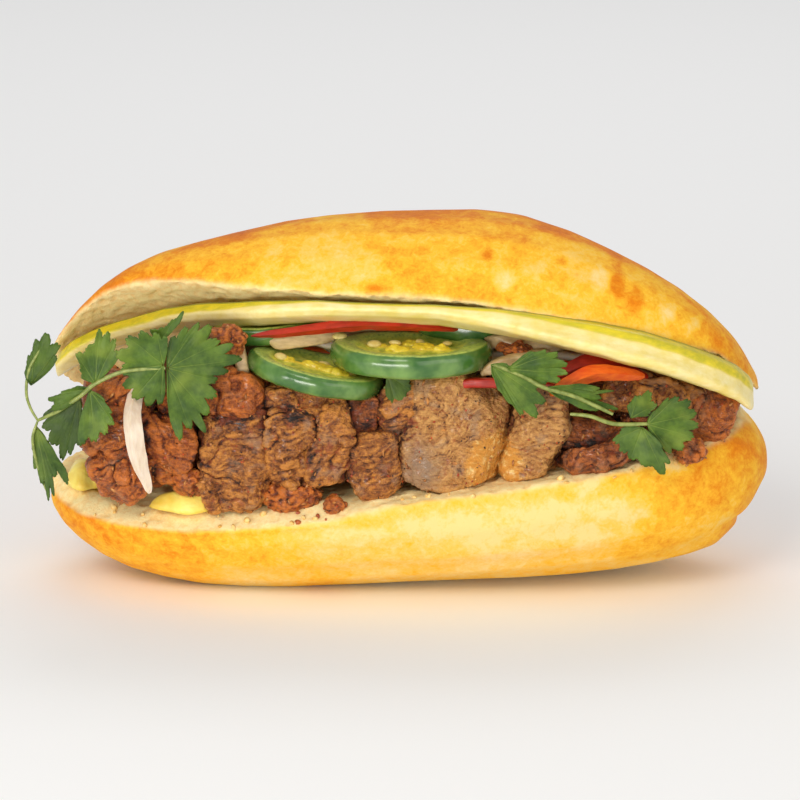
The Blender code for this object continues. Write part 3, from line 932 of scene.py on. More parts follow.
@dataclass(frozen=True)
class PlainFinish:
    """A small hard thing of nearly one colour, such as a seed or a fleck."""

    name: str
    light: tuple
    deep: tuple
    roughness: float = 0.4

    def build(self) -> bpy.types.Material:
        """Makes the material.

        Returns:
            The material.
        """
        g = Graph(self.name)
        return g.finish(
            Base_Color=g.grain(1.5 * MM, 2.0).step(0.3, 0.7).tint(self.deep, self.light),
            Roughness=self.roughness,
            Coat_Weight=0.2,
            Normal=g.relief(g.grain(0.5 * MM), 0.15 * MM, 0.5),
        )


# --- repeated and swept shapes ----------------------------------------------------------------
class Recipe(Wiring):
    """A tree of Geometry Nodes with named inputs, used once on each mesh that is given to it."""

    def __init__(self, name: str, inputs: dict[str, str]) -> None:
        """Starts a tree.

        Args:
            name: the tree's name.
            inputs: the kind of socket for each named input after the geometry.
        """
        super().__init__(bpy.data.node_groups.new(name, "GeometryNodeTree"))
        sides = self.tree.interface
        sides.new_socket("Geometry", in_out="OUTPUT", socket_type="NodeSocketGeometry")
        sides.new_socket("Geometry", in_out="INPUT", socket_type="NodeSocketGeometry")
        self.identifiers = {
            each: sides.new_socket(each, in_out="INPUT", socket_type=kind).identifier
            for each, kind in inputs.items()
        }
        self.entry = self.tree.nodes.new("NodeGroupInput")

    def given(self, name: str) -> Flow:
        """One of the tree's inputs."""
        return Flow(self, self.entry.outputs[name])

    def close(self, shape: Flow) -> None:
        """Ends the tree: instances made real, then the finish.

        Args:
            shape: the geometry that it has made.
        """
        real = self.node("GeometryNodeRealizeInstances", {}, {"Geometry": shape})
        sockets = {"Geometry": real, "Material": self.given("Finish")}
        dressed = self.node("GeometryNodeSetMaterial", {}, sockets)
        leave = self.tree.nodes.new("NodeGroupOutput")
        self.tree.links.new(dressed.socket, leave.inputs[0])

    def run(self, mesh: bpy.types.Mesh, **values: Any) -> bpy.types.Mesh:
        """Applies the tree to a mesh.

        Args:
            mesh: what it starts from; it is used up.
            **values: the named inputs, with _ for each space.

        Returns:
            The plain mesh that comes out.
        """
        thing = in_scene(self.tree.name, mesh)
        modifier = thing.modifiers.new(self.tree.name, "NODES")
        modifier.node_group = self.tree
        for name, value in values.items():
            modifier[self.identifiers[name.replace("_", " ")]] = value
        return baked(thing)


class Scatter(Recipe):
    """Small turned copies of one shape, strewn over a surface where its "share" is high."""

    def __init__(self) -> None:
        """Builds the tree."""
        super().__init__("strewn_bits", {
            "Shape": "NodeSocketObject", "Density": "NodeSocketFloat", "Smallest": "NodeSocketFloat",
            "Largest": "NodeSocketFloat", "Seed": "NodeSocketInt", "Finish": "NodeSocketMaterial",
        })
        share = self.node("GeometryNodeInputNamedAttribute", {"data_type": "FLOAT"}, {"Name": "share"})
        points = self.node("GeometryNodeDistributePointsOnFaces", {}, {
            "Mesh": self.given("Geometry"), "Density": share * self.given("Density"),
            "Seed": self.given("Seed"),
        })
        turn = self._random("FLOAT_VECTOR", (0.0, 0.0, 0.0), (6.28, 6.28, 6.28), 0)
        size = self._random("FLOAT", self.given("Smallest"), self.given("Largest"), 2)
        shape = self.node("GeometryNodeObjectInfo", {}, {"Object": self.given("Shape")}, "Geometry")
        strewn = self.node("GeometryNodeInstanceOnPoints", {}, {
            "Points": points, "Instance": shape, "Rotation": turn, "Scale": size,
        })
        self.close(strewn)

    def _random(self, kind: str, low: Any, high: Any, first: int) -> Flow:
        """A random value for each point.

        Args:
            kind: of value.
            low: the least.
            high: the most.
            first: the number of the node's lowest input for that kind.

        Returns:
            The value.
        """
        value = self.node("FunctionNodeRandomValue", {"data_type": kind}, {first: low, first + 1: high},
                          {"FLOAT_VECTOR": 0, "FLOAT": 1}[kind])
        self.feed(value.socket.node.inputs["Seed"], self.given("Seed"))
        return value


class Sweep(Recipe):
    """Bars along routes, thinner towards their ends, where "Tip" is the share that is left."""

    def __init__(self, name: str, sides: int) -> None:
        """Builds the tree.

        Args:
            name: the tree's name.
            sides: corners of a bar's section.
        """
        super().__init__(name, {
            "Width": "NodeSocketFloat", "Tip": "NodeSocketFloat", "Finish": "NodeSocketMaterial",
        })
        tip = self.given("Tip")
        curve = self.node("GeometryNodeMeshToCurve", {}, {"Mesh": self.given("Geometry")})
        along = self.node("GeometryNodeSplineParameter", {}, {}, "Factor")
        taper = (along * (1 - along) * 4).power(0.6) * (1 - tip) + tip
        width = self.node("GeometryNodeInputNamedAttribute", {"data_type": "FLOAT"}, {"Name": "width"})
        section = self.node("GeometryNodeCurvePrimitiveCircle", {"mode": "RADIUS"}, {
            "Resolution": sides, "Radius": self.given("Width"),
        })
        bars = self.node("GeometryNodeCurveToMesh", {}, {
            "Curve": curve, "Profile Curve": section, "Scale": taper * width, "Fill Caps": True,
        })
        self.close(bars)


def routes_mesh(routes: Sequence[Sequence[Vector]], widths: Sequence[float]) -> bpy.types.Mesh:
    """Routes as chains of edges.

    Args:
        routes: points along each.
        widths: how wide the bar along each is, against the sweep's own width.

    Returns:
        The mesh, with "width" stored on its points.
    """
    bm = bmesh.new()
    for route in routes:
        points = [bm.verts.new(point) for point in route]
        for first, second in zip(points, points[1:]):
            bm.edges.new((first, second))
    mesh = mesh_of("routes", bm)
    each = [width for route, width in zip(routes, widths) for _ in route]
    mesh.attributes.new("width", "FLOAT", "POINT").data.foreach_set("value", each)
    return mesh


def curve_through(points: Sequence[Sequence[float]], steps: int) -> list[Vector]:
    """A smooth curve through a few places.

    Args:
        points: the places, in millimetres.
        steps: how many stretches it is cut into.

    Returns:
        Points along it, in metres.
    """
    places = [Vector(point) * MM for point in points]
    padded = [places[0] * 2 - places[1], *places, places[-1] * 2 - places[-2]]
    curve = []
    for k in range(steps + 1):
        reach = k / steps * (len(places) - 1)
        i = min(int(reach), len(places) - 2)
        t = reach - i
        a, b, c, d = padded[i : i + 4]
        square, cube = a * 2 - b * 5 + c * 4 - d, b * 3 - a - c * 3 + d
        curve.append((b * 2 + (c - a) * t + square * t**2 + cube * t**3) / 2)
    return curve


# --- the bread --------------------------------------------------------------------------------
# Each table gives (place along the roll from -1 to 1, value); heights in millimetres, angles in degrees.
BASE_CUT_Z = (
    (-1, 28), (-0.85, 25.3), (-0.6, 25.1), (-0.3, 28.1), (0.15, 32.9), (0.6, 38.6), (0.87, 44), (1, 48),
)
HINGE_Z = ((-1, 28), (-0.6, 31), (0, 37.5), (0.75, 43), (1, 45))
LID_OPENING = (
    (-1, 46), (-0.85, 49.5), (-0.7, 48), (-0.45, 41.5), (-0.15, 36.5), (0.3, 32), (0.6, 28.2), (0.8, 23.6),
    (0.93, 19), (1, 12),
)
HINGE_Y = 37.0
HALF_LENGTH = 100  # of the roll, mm
HALF_DEPTH = 42  # of the roll at its middle, mm
END_SHAPE = 2.9  # 2 would make the roll's outline an ellipse; more makes its ends blunter
CUT_RISE = 0.1  # how far the lower cut rises for each millimetre from the front to the hinge
LID_MIDDLE = -1.5  # the place along the roll where the lid's tables are at 0, mm
LID_HALF_LENGTH = 98.5  # mm

# Patches on the front of the crust: x, z, half width and half height in millimetres, and the change in its
# tone, where a paler patch is partly paler crust and partly a painted highlight.
CRUST_MARKS = (
    (25.3, 89.8, 2.9, 2.2, -0.36), (52, 90, 2.6, 3.0, -0.36), (69.8, 80.3, 4.0, 1.7, -0.36),
    (77.6, 76.4, 2.6, 1.3, -0.3), (34, 93, 5, 2.4, -0.14), (20.9, 95.7, 1.4, 1.3, 0.42),
    (41.6, 93.6, 1.4, 1.3, 0.36), (57, 88.3, 2.2, 3.0, 0.34), (61.3, 84.6, 1.8, 2.6, 0.34),
    (-10.4, 87.3, 3.4, 1.3, 0.3), (48.5, 35, 4.2, 2.2, -0.3), (72.6, 38.8, 3.6, 2.0, -0.34),
    (56.8, 27.5, 10, 3.4, -0.24), (37.5, 27.5, 8, 3.0, -0.24), (41.6, 22.4, 11, 2.8, -0.24),
    (10, 24, 14, 3.4, -0.24), (-14, 21, 10, 3.0, -0.22), (62, 16, 12, 4, 0.1), (88, 19, 8, 1.2, -0.2),
)


def lid_directions(x: np.ndarray) -> tuple[np.ndarray, np.ndarray, np.ndarray]:
    """The hinge's height in millimetres and the lid's outward direction at places along the roll.

    Args:
        x: places in millimetres.

    Returns:
        The hinge's heights, and the Y and the Z part of the outward directions.
    """
    along = (x - LID_MIDDLE) / LID_HALF_LENGTH
    opening = np.radians(read(LID_OPENING, along))
    return read(HINGE_Z, along), np.sin(opening), np.cos(opening)


def above_lid_cut(points: np.ndarray) -> tuple[np.ndarray, np.ndarray, np.ndarray]:
    """How far points lie past the lid's cut.

    Args:
        points: in millimetres, one row of three for each.

    Returns:
        The distances in millimetres, and the Y and the Z part of the lid's outward direction at each.
    """
    hinge, out_y, out_z = lid_directions(points[:, 0])
    return (points[:, 1] - HINGE_Y) * out_y + (points[:, 2] - hinge) * out_z, out_y, out_z


def half_depth(x: Any) -> Any:
    """How far the roll reaches to the front of its middle line, at places along it in millimetres."""
    return HALF_DEPTH * np.sqrt(np.maximum(1 - np.abs(x / HALF_LENGTH) ** END_SHAPE, 0.0))


def cut_height(x: Any, y: Any) -> Any:
    """How high the lower cut lies at places in millimetres."""
    return read(BASE_CUT_Z, x / HALF_LENGTH) + CUT_RISE * (y + half_depth(x))


@dataclass
class Roll:
    """The hinged bread roll: a baked crust around it and torn crumb on both faces of the cut."""

    voxel: float = 1.05 * MM
    pit_size: float = 2.6 * MM
    pit_depth: float = 0.6 * MM
    # in millimetres: how far the lid's front rim sags on the right, and the base's falls on the left
    lid_sag: float = 2.3
    base_fall: float = 3.0
    seed: int = 4
    tree: Any = field(default=None, init=False)

    def build(self, finish: bpy.types.Material) -> "Roll":
        """Makes the roll's one skin and lays it.

        Args:
            finish: crust and crumb.

        Returns:
            Itself, ready to be asked where its surface lies.
        """
        skin = Skin(remeshed(solid_copy("bread_roll"), self.voxel)).smooth(6)
        points, normals = skin.points / MM, skin.normals()
        lid = self._lid_share(points)
        skin.points -= self._sag(points) * MM
        skin.points[:, 2] -= self._fall(points) * MM
        crumb = skin.spread(self._crumb_share(points, normals), 2)
        bake = self._bake(points, normals, lid)
        skin.push(self._crust_relief(points, lid) * (1 - crumb) * MM)
        far, number = pebbles(skin.points, self.pit_size, self.seed)
        pit = ease(0.62, 0.2, far) * (number > 0.3)
        tear = ripple(points, 8.0, 61, 4) * 0.5
        skin.push(crumb * (tear * MM - pit * self.pit_depth))
        skin.store("crumb", crumb).store("pit", pit).store("bake", skin.spread(bake, 2)).write()
        lay("bread_crust_and_crumb", skin.mesh, finish, ["bread_roll"])
        self.tree = tree_of([skin.mesh])
        return self

    @staticmethod
    def _lid_share(points: np.ndarray) -> np.ndarray:
        """1 on the upper half and 0 on the lower one."""
        return ease(-4.0, 0.0, above_lid_cut(points)[0])

    def _sag(self, points: np.ndarray) -> np.ndarray:
        """How far and which way the lid's front rim sags towards the spear on the right.

        Args:
            points: in millimetres, one row of three for each.

        Returns:
            One row of three for each, in millimetres.
        """
        x, y = points[:, 0], points[:, 1]
        above, out_y, out_z = above_lid_cut(points)
        at_rim = ease(-16, -30, y - 30 * ease(84, 98, x))
        share = ease(4, 40, x) * ease(10, 1, above) * ease(-3, -0.5, above) * at_rim
        return self.lid_sag * share[:, None] * np.stack([np.zeros_like(x), out_y, out_z], axis=-1)

    def _fall(self, points: np.ndarray) -> np.ndarray:
        """How far the base's cut falls towards its front rim on the left.

        Args:
            points: in millimetres, one row of three for each.

        Returns:
            One number a point, in millimetres.
        """
        x, y, z = points.T
        cut = cut_height(x, y)
        at_rim = ease(9, 0, y + half_depth(x))
        return self.base_fall * at_rim * ease(-7, -0.5, z - cut) * ease(4, -26, x) * (z < cut + 2)

    @staticmethod
    def _crumb_share(points: np.ndarray, normals: np.ndarray) -> np.ndarray:
        """Tells the torn faces of the cut from the crust, with an uneven edge between them.

        Args:
            points: in millimetres, one row of three for each.
            normals: the outward directions there.

        Returns:
            1 on the crumb and 0 on the crust.
        """
        x, y, z = points.T
        ragged = ripple(points, 5.0, 31) * 0.16
        above, out_y, out_z = above_lid_cut(points)
        over_base = z - cut_height(x, y)
        before_hinge = y < HINGE_Y + 1
        facing = normals[:, 1] * out_y + normals[:, 2] * out_z
        on_lid = ease(0.3, 0.5, -facing + ragged) * (above > -3.5) * (above < 8.5) * before_hinge
        rim = 0.62 - 0.3 * ease(-6, -40, x)  # how far a face must look upwards to be crumb
        on_base = ease(0.0, 0.18, normals[:, 2] + ragged - rim)
        on_base = on_base * (over_base > -4.5) * (over_base < 1.2) * before_hinge
        between = (above < 0.0) & (over_base > 0.0) & (y < HINGE_Y + 3) & (normals[:, 1] < 0.3)
        return np.maximum(np.maximum(on_lid, on_base), between)

    @staticmethod
    def _crust_relief(points: np.ndarray, lid: np.ndarray) -> np.ndarray:
        """Shallow dents and wrinkles of the crust.

        Args:
            points: in millimetres, one row of three for each.
            lid: 1 on the lid and 0 on the base.

        Returns:
            One height a point, in millimetres.
        """
        x, y, z = points.T
        relief = ripple(points, 34.0, 11, 2) * 0.5 + ripple(points * (0.45, 1, 1), 9.0, 12, 2) * 0.12
        groove = np.exp(-(((z - 17.5 + (x - 90) * 0.15) / 2.4) ** 2)) * ease(78, 97, x) * (1 - lid)
        dent = np.exp(-(((x - 58) / 9) ** 2) - ((y + 36) / 10) ** 2) * lid
        seam = np.exp(-(((z - 10 - 0.04 * x) / 3.5) ** 2)) * ease(-70, -20, x) * (1 - lid) * (y < 0)
        return relief - 1.6 * groove - 0.8 * dent - 0.35 * seam

    @staticmethod
    def _bake(points: np.ndarray, normals: np.ndarray, lid: np.ndarray) -> np.ndarray:
        """How far the crust is baked, with paler patches that are partly painted highlight.

        Args:
            points: in millimetres, one row of three for each.
            normals: the outward directions there.
            lid: 1 on the lid and 0 on the base.

        Returns:
            From 0 where it is palest to 1 where it is dark.
        """
        x, y, z = points.T
        patches = ripple(points, 22.0, 41, 3)
        crown = ease(0.78, 0.98, normals[:, 2] * 0.95 + normals[:, 1] * 0.3 + patches * 0.09)
        left, right = ease(-20, -92, x), ease(10, 96, x)
        upper = 0.32 + 0.47 * crown + 0.42 * left + 0.24 * right
        band = np.exp(-(np.abs((x - 30) / 56) ** 3) - np.abs((z - 20 - 0.06 * x) / 10) ** 2.4)
        lower = 0.32 + 0.23 * left + 0.27 * ease(54, 92, x) - band * 0.1
        lower -= 0.1 * ease(-0.4, -0.9, normals[:, 2])
        bake = upper * lid + lower * (1 - lid) + ease(10, 34, y) * 0.2 + patches * 0.14
        ragged = ripple(points, 4.0, 43, 3) * 0.9
        # painted highlight: the paler marks stand partly for highlights on the crust, partly for paler crust
        for mark_x, mark_z, wide, high, change in CRUST_MARKS:
            far = ((x - mark_x) / wide) ** 2 + ((z - mark_z) / high) ** 2 + ragged
            bake += change * ease(1.4, 0.4, far) * (y < 0)
        return np.clip(bake, 0.0, 1.0)

    def floor_at(self, x: float, y: float, start: float) -> float:
        """The height of the bread straight below a place. All in metres."""
        hit = self.tree.ray_cast(Vector((x, y, start)), Vector((0, 0, -1)))[0]
        return hit.z if hit else 0.0


# --- the filling ------------------------------------------------------------------------------
class Cut(Enum):
    """How a piece of meat was cut and cooked, which settles its finish."""

    GRILLED = MeatFinish("meat_grilled", paint(204, 132, 54), paint(126, 68, 24), paint(22, 7, 2))
    SLICE = MeatFinish(
        "meat_pale_slice", paint(214, 158, 88), paint(168, 112, 56), paint(66, 30, 12), grey_share=0.6,
    )
    SAUCY = MeatFinish(
        "meat_saucy", paint(204, 112, 36), paint(130, 60, 16), paint(26, 8, 2), grey_share=0.3, gloss=0.34,
    )
    DARK = MeatFinish(
        "meat_dark", paint(176, 96, 38), paint(98, 44, 13), paint(20, 6, 2), grey_share=0.25, gloss=0.36,
    )


MEAT_CUTS = {
    "meat_round_slice": Cut.SLICE, "meat_slanted_slice": Cut.SLICE, "meat_lower_left": Cut.GRILLED,
    "meat_middle": Cut.GRILLED, "meat_folded_strip": Cut.GRILLED, "meat_rounded_chunk": Cut.GRILLED,
    "meat_upper_left": Cut.SAUCY, "meat_upper_middle": Cut.GRILLED, "meat_tall_chunk": Cut.GRILLED,
    "meat_small_chunk": Cut.DARK, "meat_saucy_chunk": Cut.SAUCY, "meat_left_inner": Cut.SAUCY,
    "meat_left_upper": Cut.SAUCY, "meat_left_top": Cut.SAUCY, "meat_dark_inner": Cut.DARK,
    "meat_dark_lower": Cut.DARK, "meat_right_upper": Cut.GRILLED, "meat_right_end": Cut.SAUCY,
    "meat_right_inner": Cut.DARK,
}

FAT_MIDDLE = (23.0, -37.0, 38.0)  # the seam of soft fat between the two pale slices, mm
FAT_HALF = (10.0, 18.0, 15.0)
ASH_MIDDLE = (2.0, -37.0, 38.0)  # where the round slice is greyer, mm
ASH_HALF = (10.0, 14.0, 13.0)
RING_MIDDLE = (30.0, 66.0)  # the x and z that the round slice's grain bends about, mm

# Clumps of sauce and shreds that lie between the slices: centre and half sizes in millimetres.
SAUCE_CLUMPS = (
    ((-31.7, -33.0, 30.3), (8.0, 4.2, 4.4)), ((-20.6, -36.6, 28.6), (3.6, 2.6, 2.2)),
    ((-49.5, -30.5, 73.4), (5.0, 4.0, 4.0)), ((28.6, -26.0, 70.0), (5.0, 3.0, 2.2)),
    ((76.0, -31.0, 42.5), (5.0, 3.0, 2.6)), ((-60.0, -31.5, 34.5), (5.4, 3.5, 3.6)),
)

# Where a piece is drawn in: beyond this place along the roll, in millimetres, by this share.
DRAWN_IN = {"meat_saucy_chunk": (-79.0, 0.6), "meat_lower_left": (-53.0, 0.5)}


@dataclass
class MeatPiece:
    """One torn slice: the solid it stands for, swelled a little and given folds, flakes and fibres."""

    node: str
    cut: Cut
    seed: int
    voxel: float = 0.45 * MM
    swell: float = 0.7 * MM
    fold: float = 0.8 * MM
    flake: float = 1.1 * MM
    fibre: float = 0.5 * MM
    bend: float = 1.7 * MM
    blunt: float = 3.4 * MM
    blunt_share: float = 0.6
    calm_share: float = 0.4  # how much of its folds and flakes a pale slice keeps
    slant: float = 0.9  # the steepest that the fibres lean, in radians
    gap_reach: float = 1.4 * MM
    gap_width: float = 2.6 * MM

    def build(self, finish: bpy.types.Material, others: BVHTree) -> bpy.types.Mesh:
        """Makes and lays the piece.

        Args:
            finish: for its kind of cut.
            others: the pieces around it.

        Returns:
            Its mesh, for the bits that are strewn over it.
        """
        skin = Skin(remeshed(solid_copy(self.node), self.voxel)).smooth(6)
        self._bend(skin)
        points = skin.points / MM
        self._tear(skin, points)
        # the hollows darken the finish as painted shade and draw more strewn bits
        hollow = skin.hollows(5, 0.35 * MM) * 0.55 + skin.hollows(14, 1.1 * MM) * 0.45
        skin.store("hollow", hollow).store("share", np.clip(0.35 + hollow, 0, 1))
        self._mark(skin, points, others)
        lay(self.node + "_flesh", skin.mesh, finish, [self.node])
        return skin.mesh

    def _bend(self, skin: Skin) -> None:
        """Draws the piece in, blunts its front and bends it a little.

        Args:
            skin: the piece's.
        """
        limit, share = DRAWN_IN.get(self.node, (-200.0, 1.0))
        beyond = np.minimum(skin.points[:, 0] - limit * MM, 0.0)
        skin.points[:, 0] -= beyond * (1 - share)
        front = skin.points[:, 1].min() + self.blunt
        skin.points[:, 1] += np.maximum(front - skin.points[:, 1], 0.0) * self.blunt_share
        points = skin.points / MM
        shared, own = (ripples(points, 10.0, seed) for seed in (51, self.seed))
        skin.points += (shared + own * 0.8) * self.bend

    def _tear(self, skin: Skin, points: np.ndarray) -> None:
        """Pushes the skin into bundles, tears, flakes and fibres that run one way.

        Args:
            skin: the piece's.
            points: its points in millimetres.
        """
        sliced = self.cut is Cut.SLICE
        calm = self.calm_share if sliced else 1.0
        slant = random.Random(self.seed).uniform(-self.slant, self.slant)
        turn = np.array(Matrix.Rotation(slant, 3, "Y"))
        along = ((points + ripples(points, 7.0, self.seed + 11) * 2.6) @ turn.T) * (0.5, 1.0, 1.0)
        bundles = np.abs(ripple(along, 9.0, self.seed, 1))
        bundles = bundles + 0.15 * np.abs(ripple(along, 3.4, self.seed + 1, 1))
        tears = ease(0.09, 0.0, np.abs(ripple(along, 10.0, self.seed + 2, 2)))
        heights = self.swell + self.fold * calm * (bundles * 1.5 - 0.6 - tears * 1.3)
        ragged = ripple(points, 3.0, self.seed + 4, 2)[:, None] * 0.8
        flake = pebbles(along + ragged, 11.0, self.seed + 6)[1]
        heights = heights + self.flake * calm * (flake - 0.5)
        skin.push(skin.spread(heights, 2))
        fibres = np.abs(ripple(along * (0.4, 1, 1), 1.3, self.seed + 9, 2)) * self.fibre
        rings = np.linalg.norm(points[:, ::2] - RING_MIDDLE, axis=-1) + ripple(points, 9.0, 71, 2) * 2.4
        grooves = (np.abs(np.sin(rings * 2.1)) - 0.5) * 0.2 * MM * sliced
        skin.push(fibres + grooves + ripple(points, 1.6, self.seed + 5, 2) * 0.14 * MM)

    def _mark(self, skin: Skin, points: np.ndarray, others: BVHTree) -> None:
        """Stores where the piece is fat, ashen or close to its neighbours.

        Args:
            skin: the piece's.
            points: its points in millimetres, before it was torn.
            others: the pieces around it.
        """
        sliced = self.cut is Cut.SLICE
        fat = ease(1.1, 0.2, np.linalg.norm((points - FAT_MIDDLE) / FAT_HALF, axis=-1))
        ash = ease(1.0, 0.2, np.linalg.norm((points - ASH_MIDDLE) / ASH_HALF, axis=-1))
        skin.store("fat", fat * sliced).store("ash", ash * sliced)
        # closeness to the neighbours is painted as shade between the pieces by the finish
        reach = skin.points + skin.normals() * self.gap_reach
        near = np.array([others.find_nearest(point)[3] for point in reach.tolist()])
        skin.store("gap", skin.spread(ease(self.gap_width / MM, 0.2, near / MM), 3)).write()


@dataclass
class MeatFilling:
    """The pile of grilled meat: its slices in front, the pile behind them, and the shreds on them."""

    core_voxel: float = 0.8 * MM
    core_fold: float = 1.9 * MM
    core_seed: int = 77
    shred_seed: int = 12
    meshes: list = field(default_factory=list, init=False)

    def build(self) -> "MeatFilling":
        """Makes and lays every piece of meat.

        Returns:
            Itself.
        """
        finishes = {cut: cut.value.build() for cut in Cut}
        solids = {node: solid_copy(node) for node in (*MEAT_CUTS, "meat_heap")}
        for number, (node, cut) in enumerate(MEAT_CUTS.items()):
            others = tree_of(mesh for other, mesh in solids.items() if other != node)
            self.meshes.append(MeatPiece(node, cut, number * 5 + 2).build(finishes[cut], others))
        pile = MeatPiece("meat_heap", Cut.DARK, self.core_seed, self.core_voxel, 0.0, self.core_fold)
        front = tree_of(mesh for node, mesh in solids.items() if node != "meat_heap")
        self.meshes.append(pile.build(finishes[Cut.DARK], front))
        self._build_clumps(finishes[Cut.SAUCY])
        self._strew_shreds()
        return self

    def _build_clumps(self, finish: bpy.types.Material) -> None:
        """Makes the clumps of sauce and shreds, as one piece.

        Args:
            finish: of saucy meat.
        """
        places = (Matrix.Translation(Vector(centre) * MM) @ sized(half) for centre, half in SAUCE_CLUMPS)
        skin = Skin(lumps("sauce_clumps", places, 5))
        points = skin.points / MM
        skin.push((ripple(points, 3.4, 91, 2) * 1.3 + np.abs(ripple(points, 1.7, 92, 2)) * 0.7) * MM)
        # the hollows darken the finish as painted shade
        hollow = skin.hollows(8, 0.4 * MM)
        skin.store("hollow", hollow).store("share", np.clip(0.6 + hollow, 0, 1)).write()
        lay("sauce_clumps", skin.mesh, finish)
        self.meshes.append(skin.mesh)

    def _strew_shreds(self) -> None:
        """Torn bits of meat, red sauce grains and burnt flecks over the slices."""
        strew = Scatter()
        # name, half sizes, how many to a square metre, smallest and largest scale in millimetres, finish
        kinds = (
            ("meat_shreds", (1.0, 0.45, 0.3), 90000, 0.5, 1.4,
             PlainFinish("shred", paint(206, 138, 66), paint(120, 64, 26), 0.45)),
            ("red_sauce_grains", (0.8, 0.7, 0.5), 60000, 0.25, 0.7,
             PlainFinish("sauce_grain", paint(200, 84, 26), paint(140, 44, 10), 0.3)),
            ("burnt_flecks", (0.9, 0.6, 0.3), 50000, 0.2, 0.6,
             PlainFinish("burnt_fleck", paint(74, 38, 18), paint(36, 18, 10), 0.5)),
        )
        for seed, (name, half, density, smallest, largest, finish) in enumerate(kinds, self.shred_seed):
            shape = ragged_bit(half, seed)
            look = finish.build()
            mesh = strew.run(
                joined(name, self.meshes), Shape=shape, Density=float(density), Smallest=smallest * MM,
                Largest=largest * MM, Seed=seed, Finish=look,
            )
            bpy.data.objects.remove(shape)
            lay(name, mesh, look)


def ragged_bit(half: Sequence[float], seed: int) -> bpy.types.Object:
    """A small uneven lump about two units wide, to be strewn.

    Args:
        half: its half sizes.
        seed: picks its shape.

    Returns:
        An object, to be removed once it has been strewn.
    """
    bm = bmesh.new()
    bmesh.ops.create_icosphere(bm, subdivisions=1, radius=1)
    chance = random.Random(seed)
    for v in bm.verts:
        reach = chance.uniform(0.65, 1.25)
        v.co = Vector([c * size * reach for c, size in zip(v.co, half)])
    mesh = mesh_of("bit", bm)
    mesh.shade_smooth()
    return in_scene("bit", mesh)


CARROT_RED = StripFinish("carrot_deep", paint(194, 42, 20), paint(138, 22, 10), 0.1)
CARROT_ORANGE = StripFinish("carrot_bright", paint(250, 126, 36), paint(224, 74, 20), 0.1)
DAIKON_WHITE = StripFinish("daikon_clear", paint(248, 238, 216), paint(222, 200, 160), 0.3)
DAIKON_SOAKED = StripFinish("daikon_soaked", paint(218, 192, 140), paint(160, 126, 80), 0.3)
DAIKON_HANGING = StripFinish(
    "daikon_hanging", paint(246, 232, 212), paint(224, 200, 172), 0.3, stretch=(1.0, 1.0, 0.25),
)
LAID_STRIPS = {
    "carrot_strip_low": CARROT_RED, "daikon_strip_back": DAIKON_SOAKED, "daikon_strip_front": DAIKON_SOAKED,
    "daikon_strip_under": DAIKON_SOAKED, "daikon_strip_left": DAIKON_SOAKED,
}

# How far some laid strips are moved, in millimetres.
NUDGED = {"carrot_strip_low": (0.0, 2.4, -0.5), "daikon_strip_under": (1.0, 3.4, 1.2)}

# Strips that are laid anew along a route through these points, with half a width. In millimetres.
ROUTED_STRIPS = (
    ("carrot_strip_long", CARROT_RED, 1.7,
     ((-43.3, -26, 73.6), (-32.6, -27, 75), (-21.7, -27, 76.4), (-12.1, -27, 77.2), (-2.6, -27, 77),
      (8.3, -26, 75.9), (13, -24, 75))),
    ("carrot_strip_upper", CARROT_RED, 2.6,
     ((38.4, -29, 62), (46.9, -29, 66.4), (53.5, -28, 65.8), (65, -25, 61.6))),
    ("carrot_strip_bright", CARROT_ORANGE, 2.4,
     ((38, -33.5, 58.8), (45, -34.3, 63.4), (52, -32.6, 65), (64, -30, 63.4))),
    ("daikon_strip_hanging", DAIKON_HANGING, 2.5,
     ((-73.6, -29.0, 65.0), (-74.6, -35.6, 59.0), (-75.1, -39.6, 52.5), (-73.8, -40.1, 44.0),
      (-70.6, -39.9, 33.0))),
)


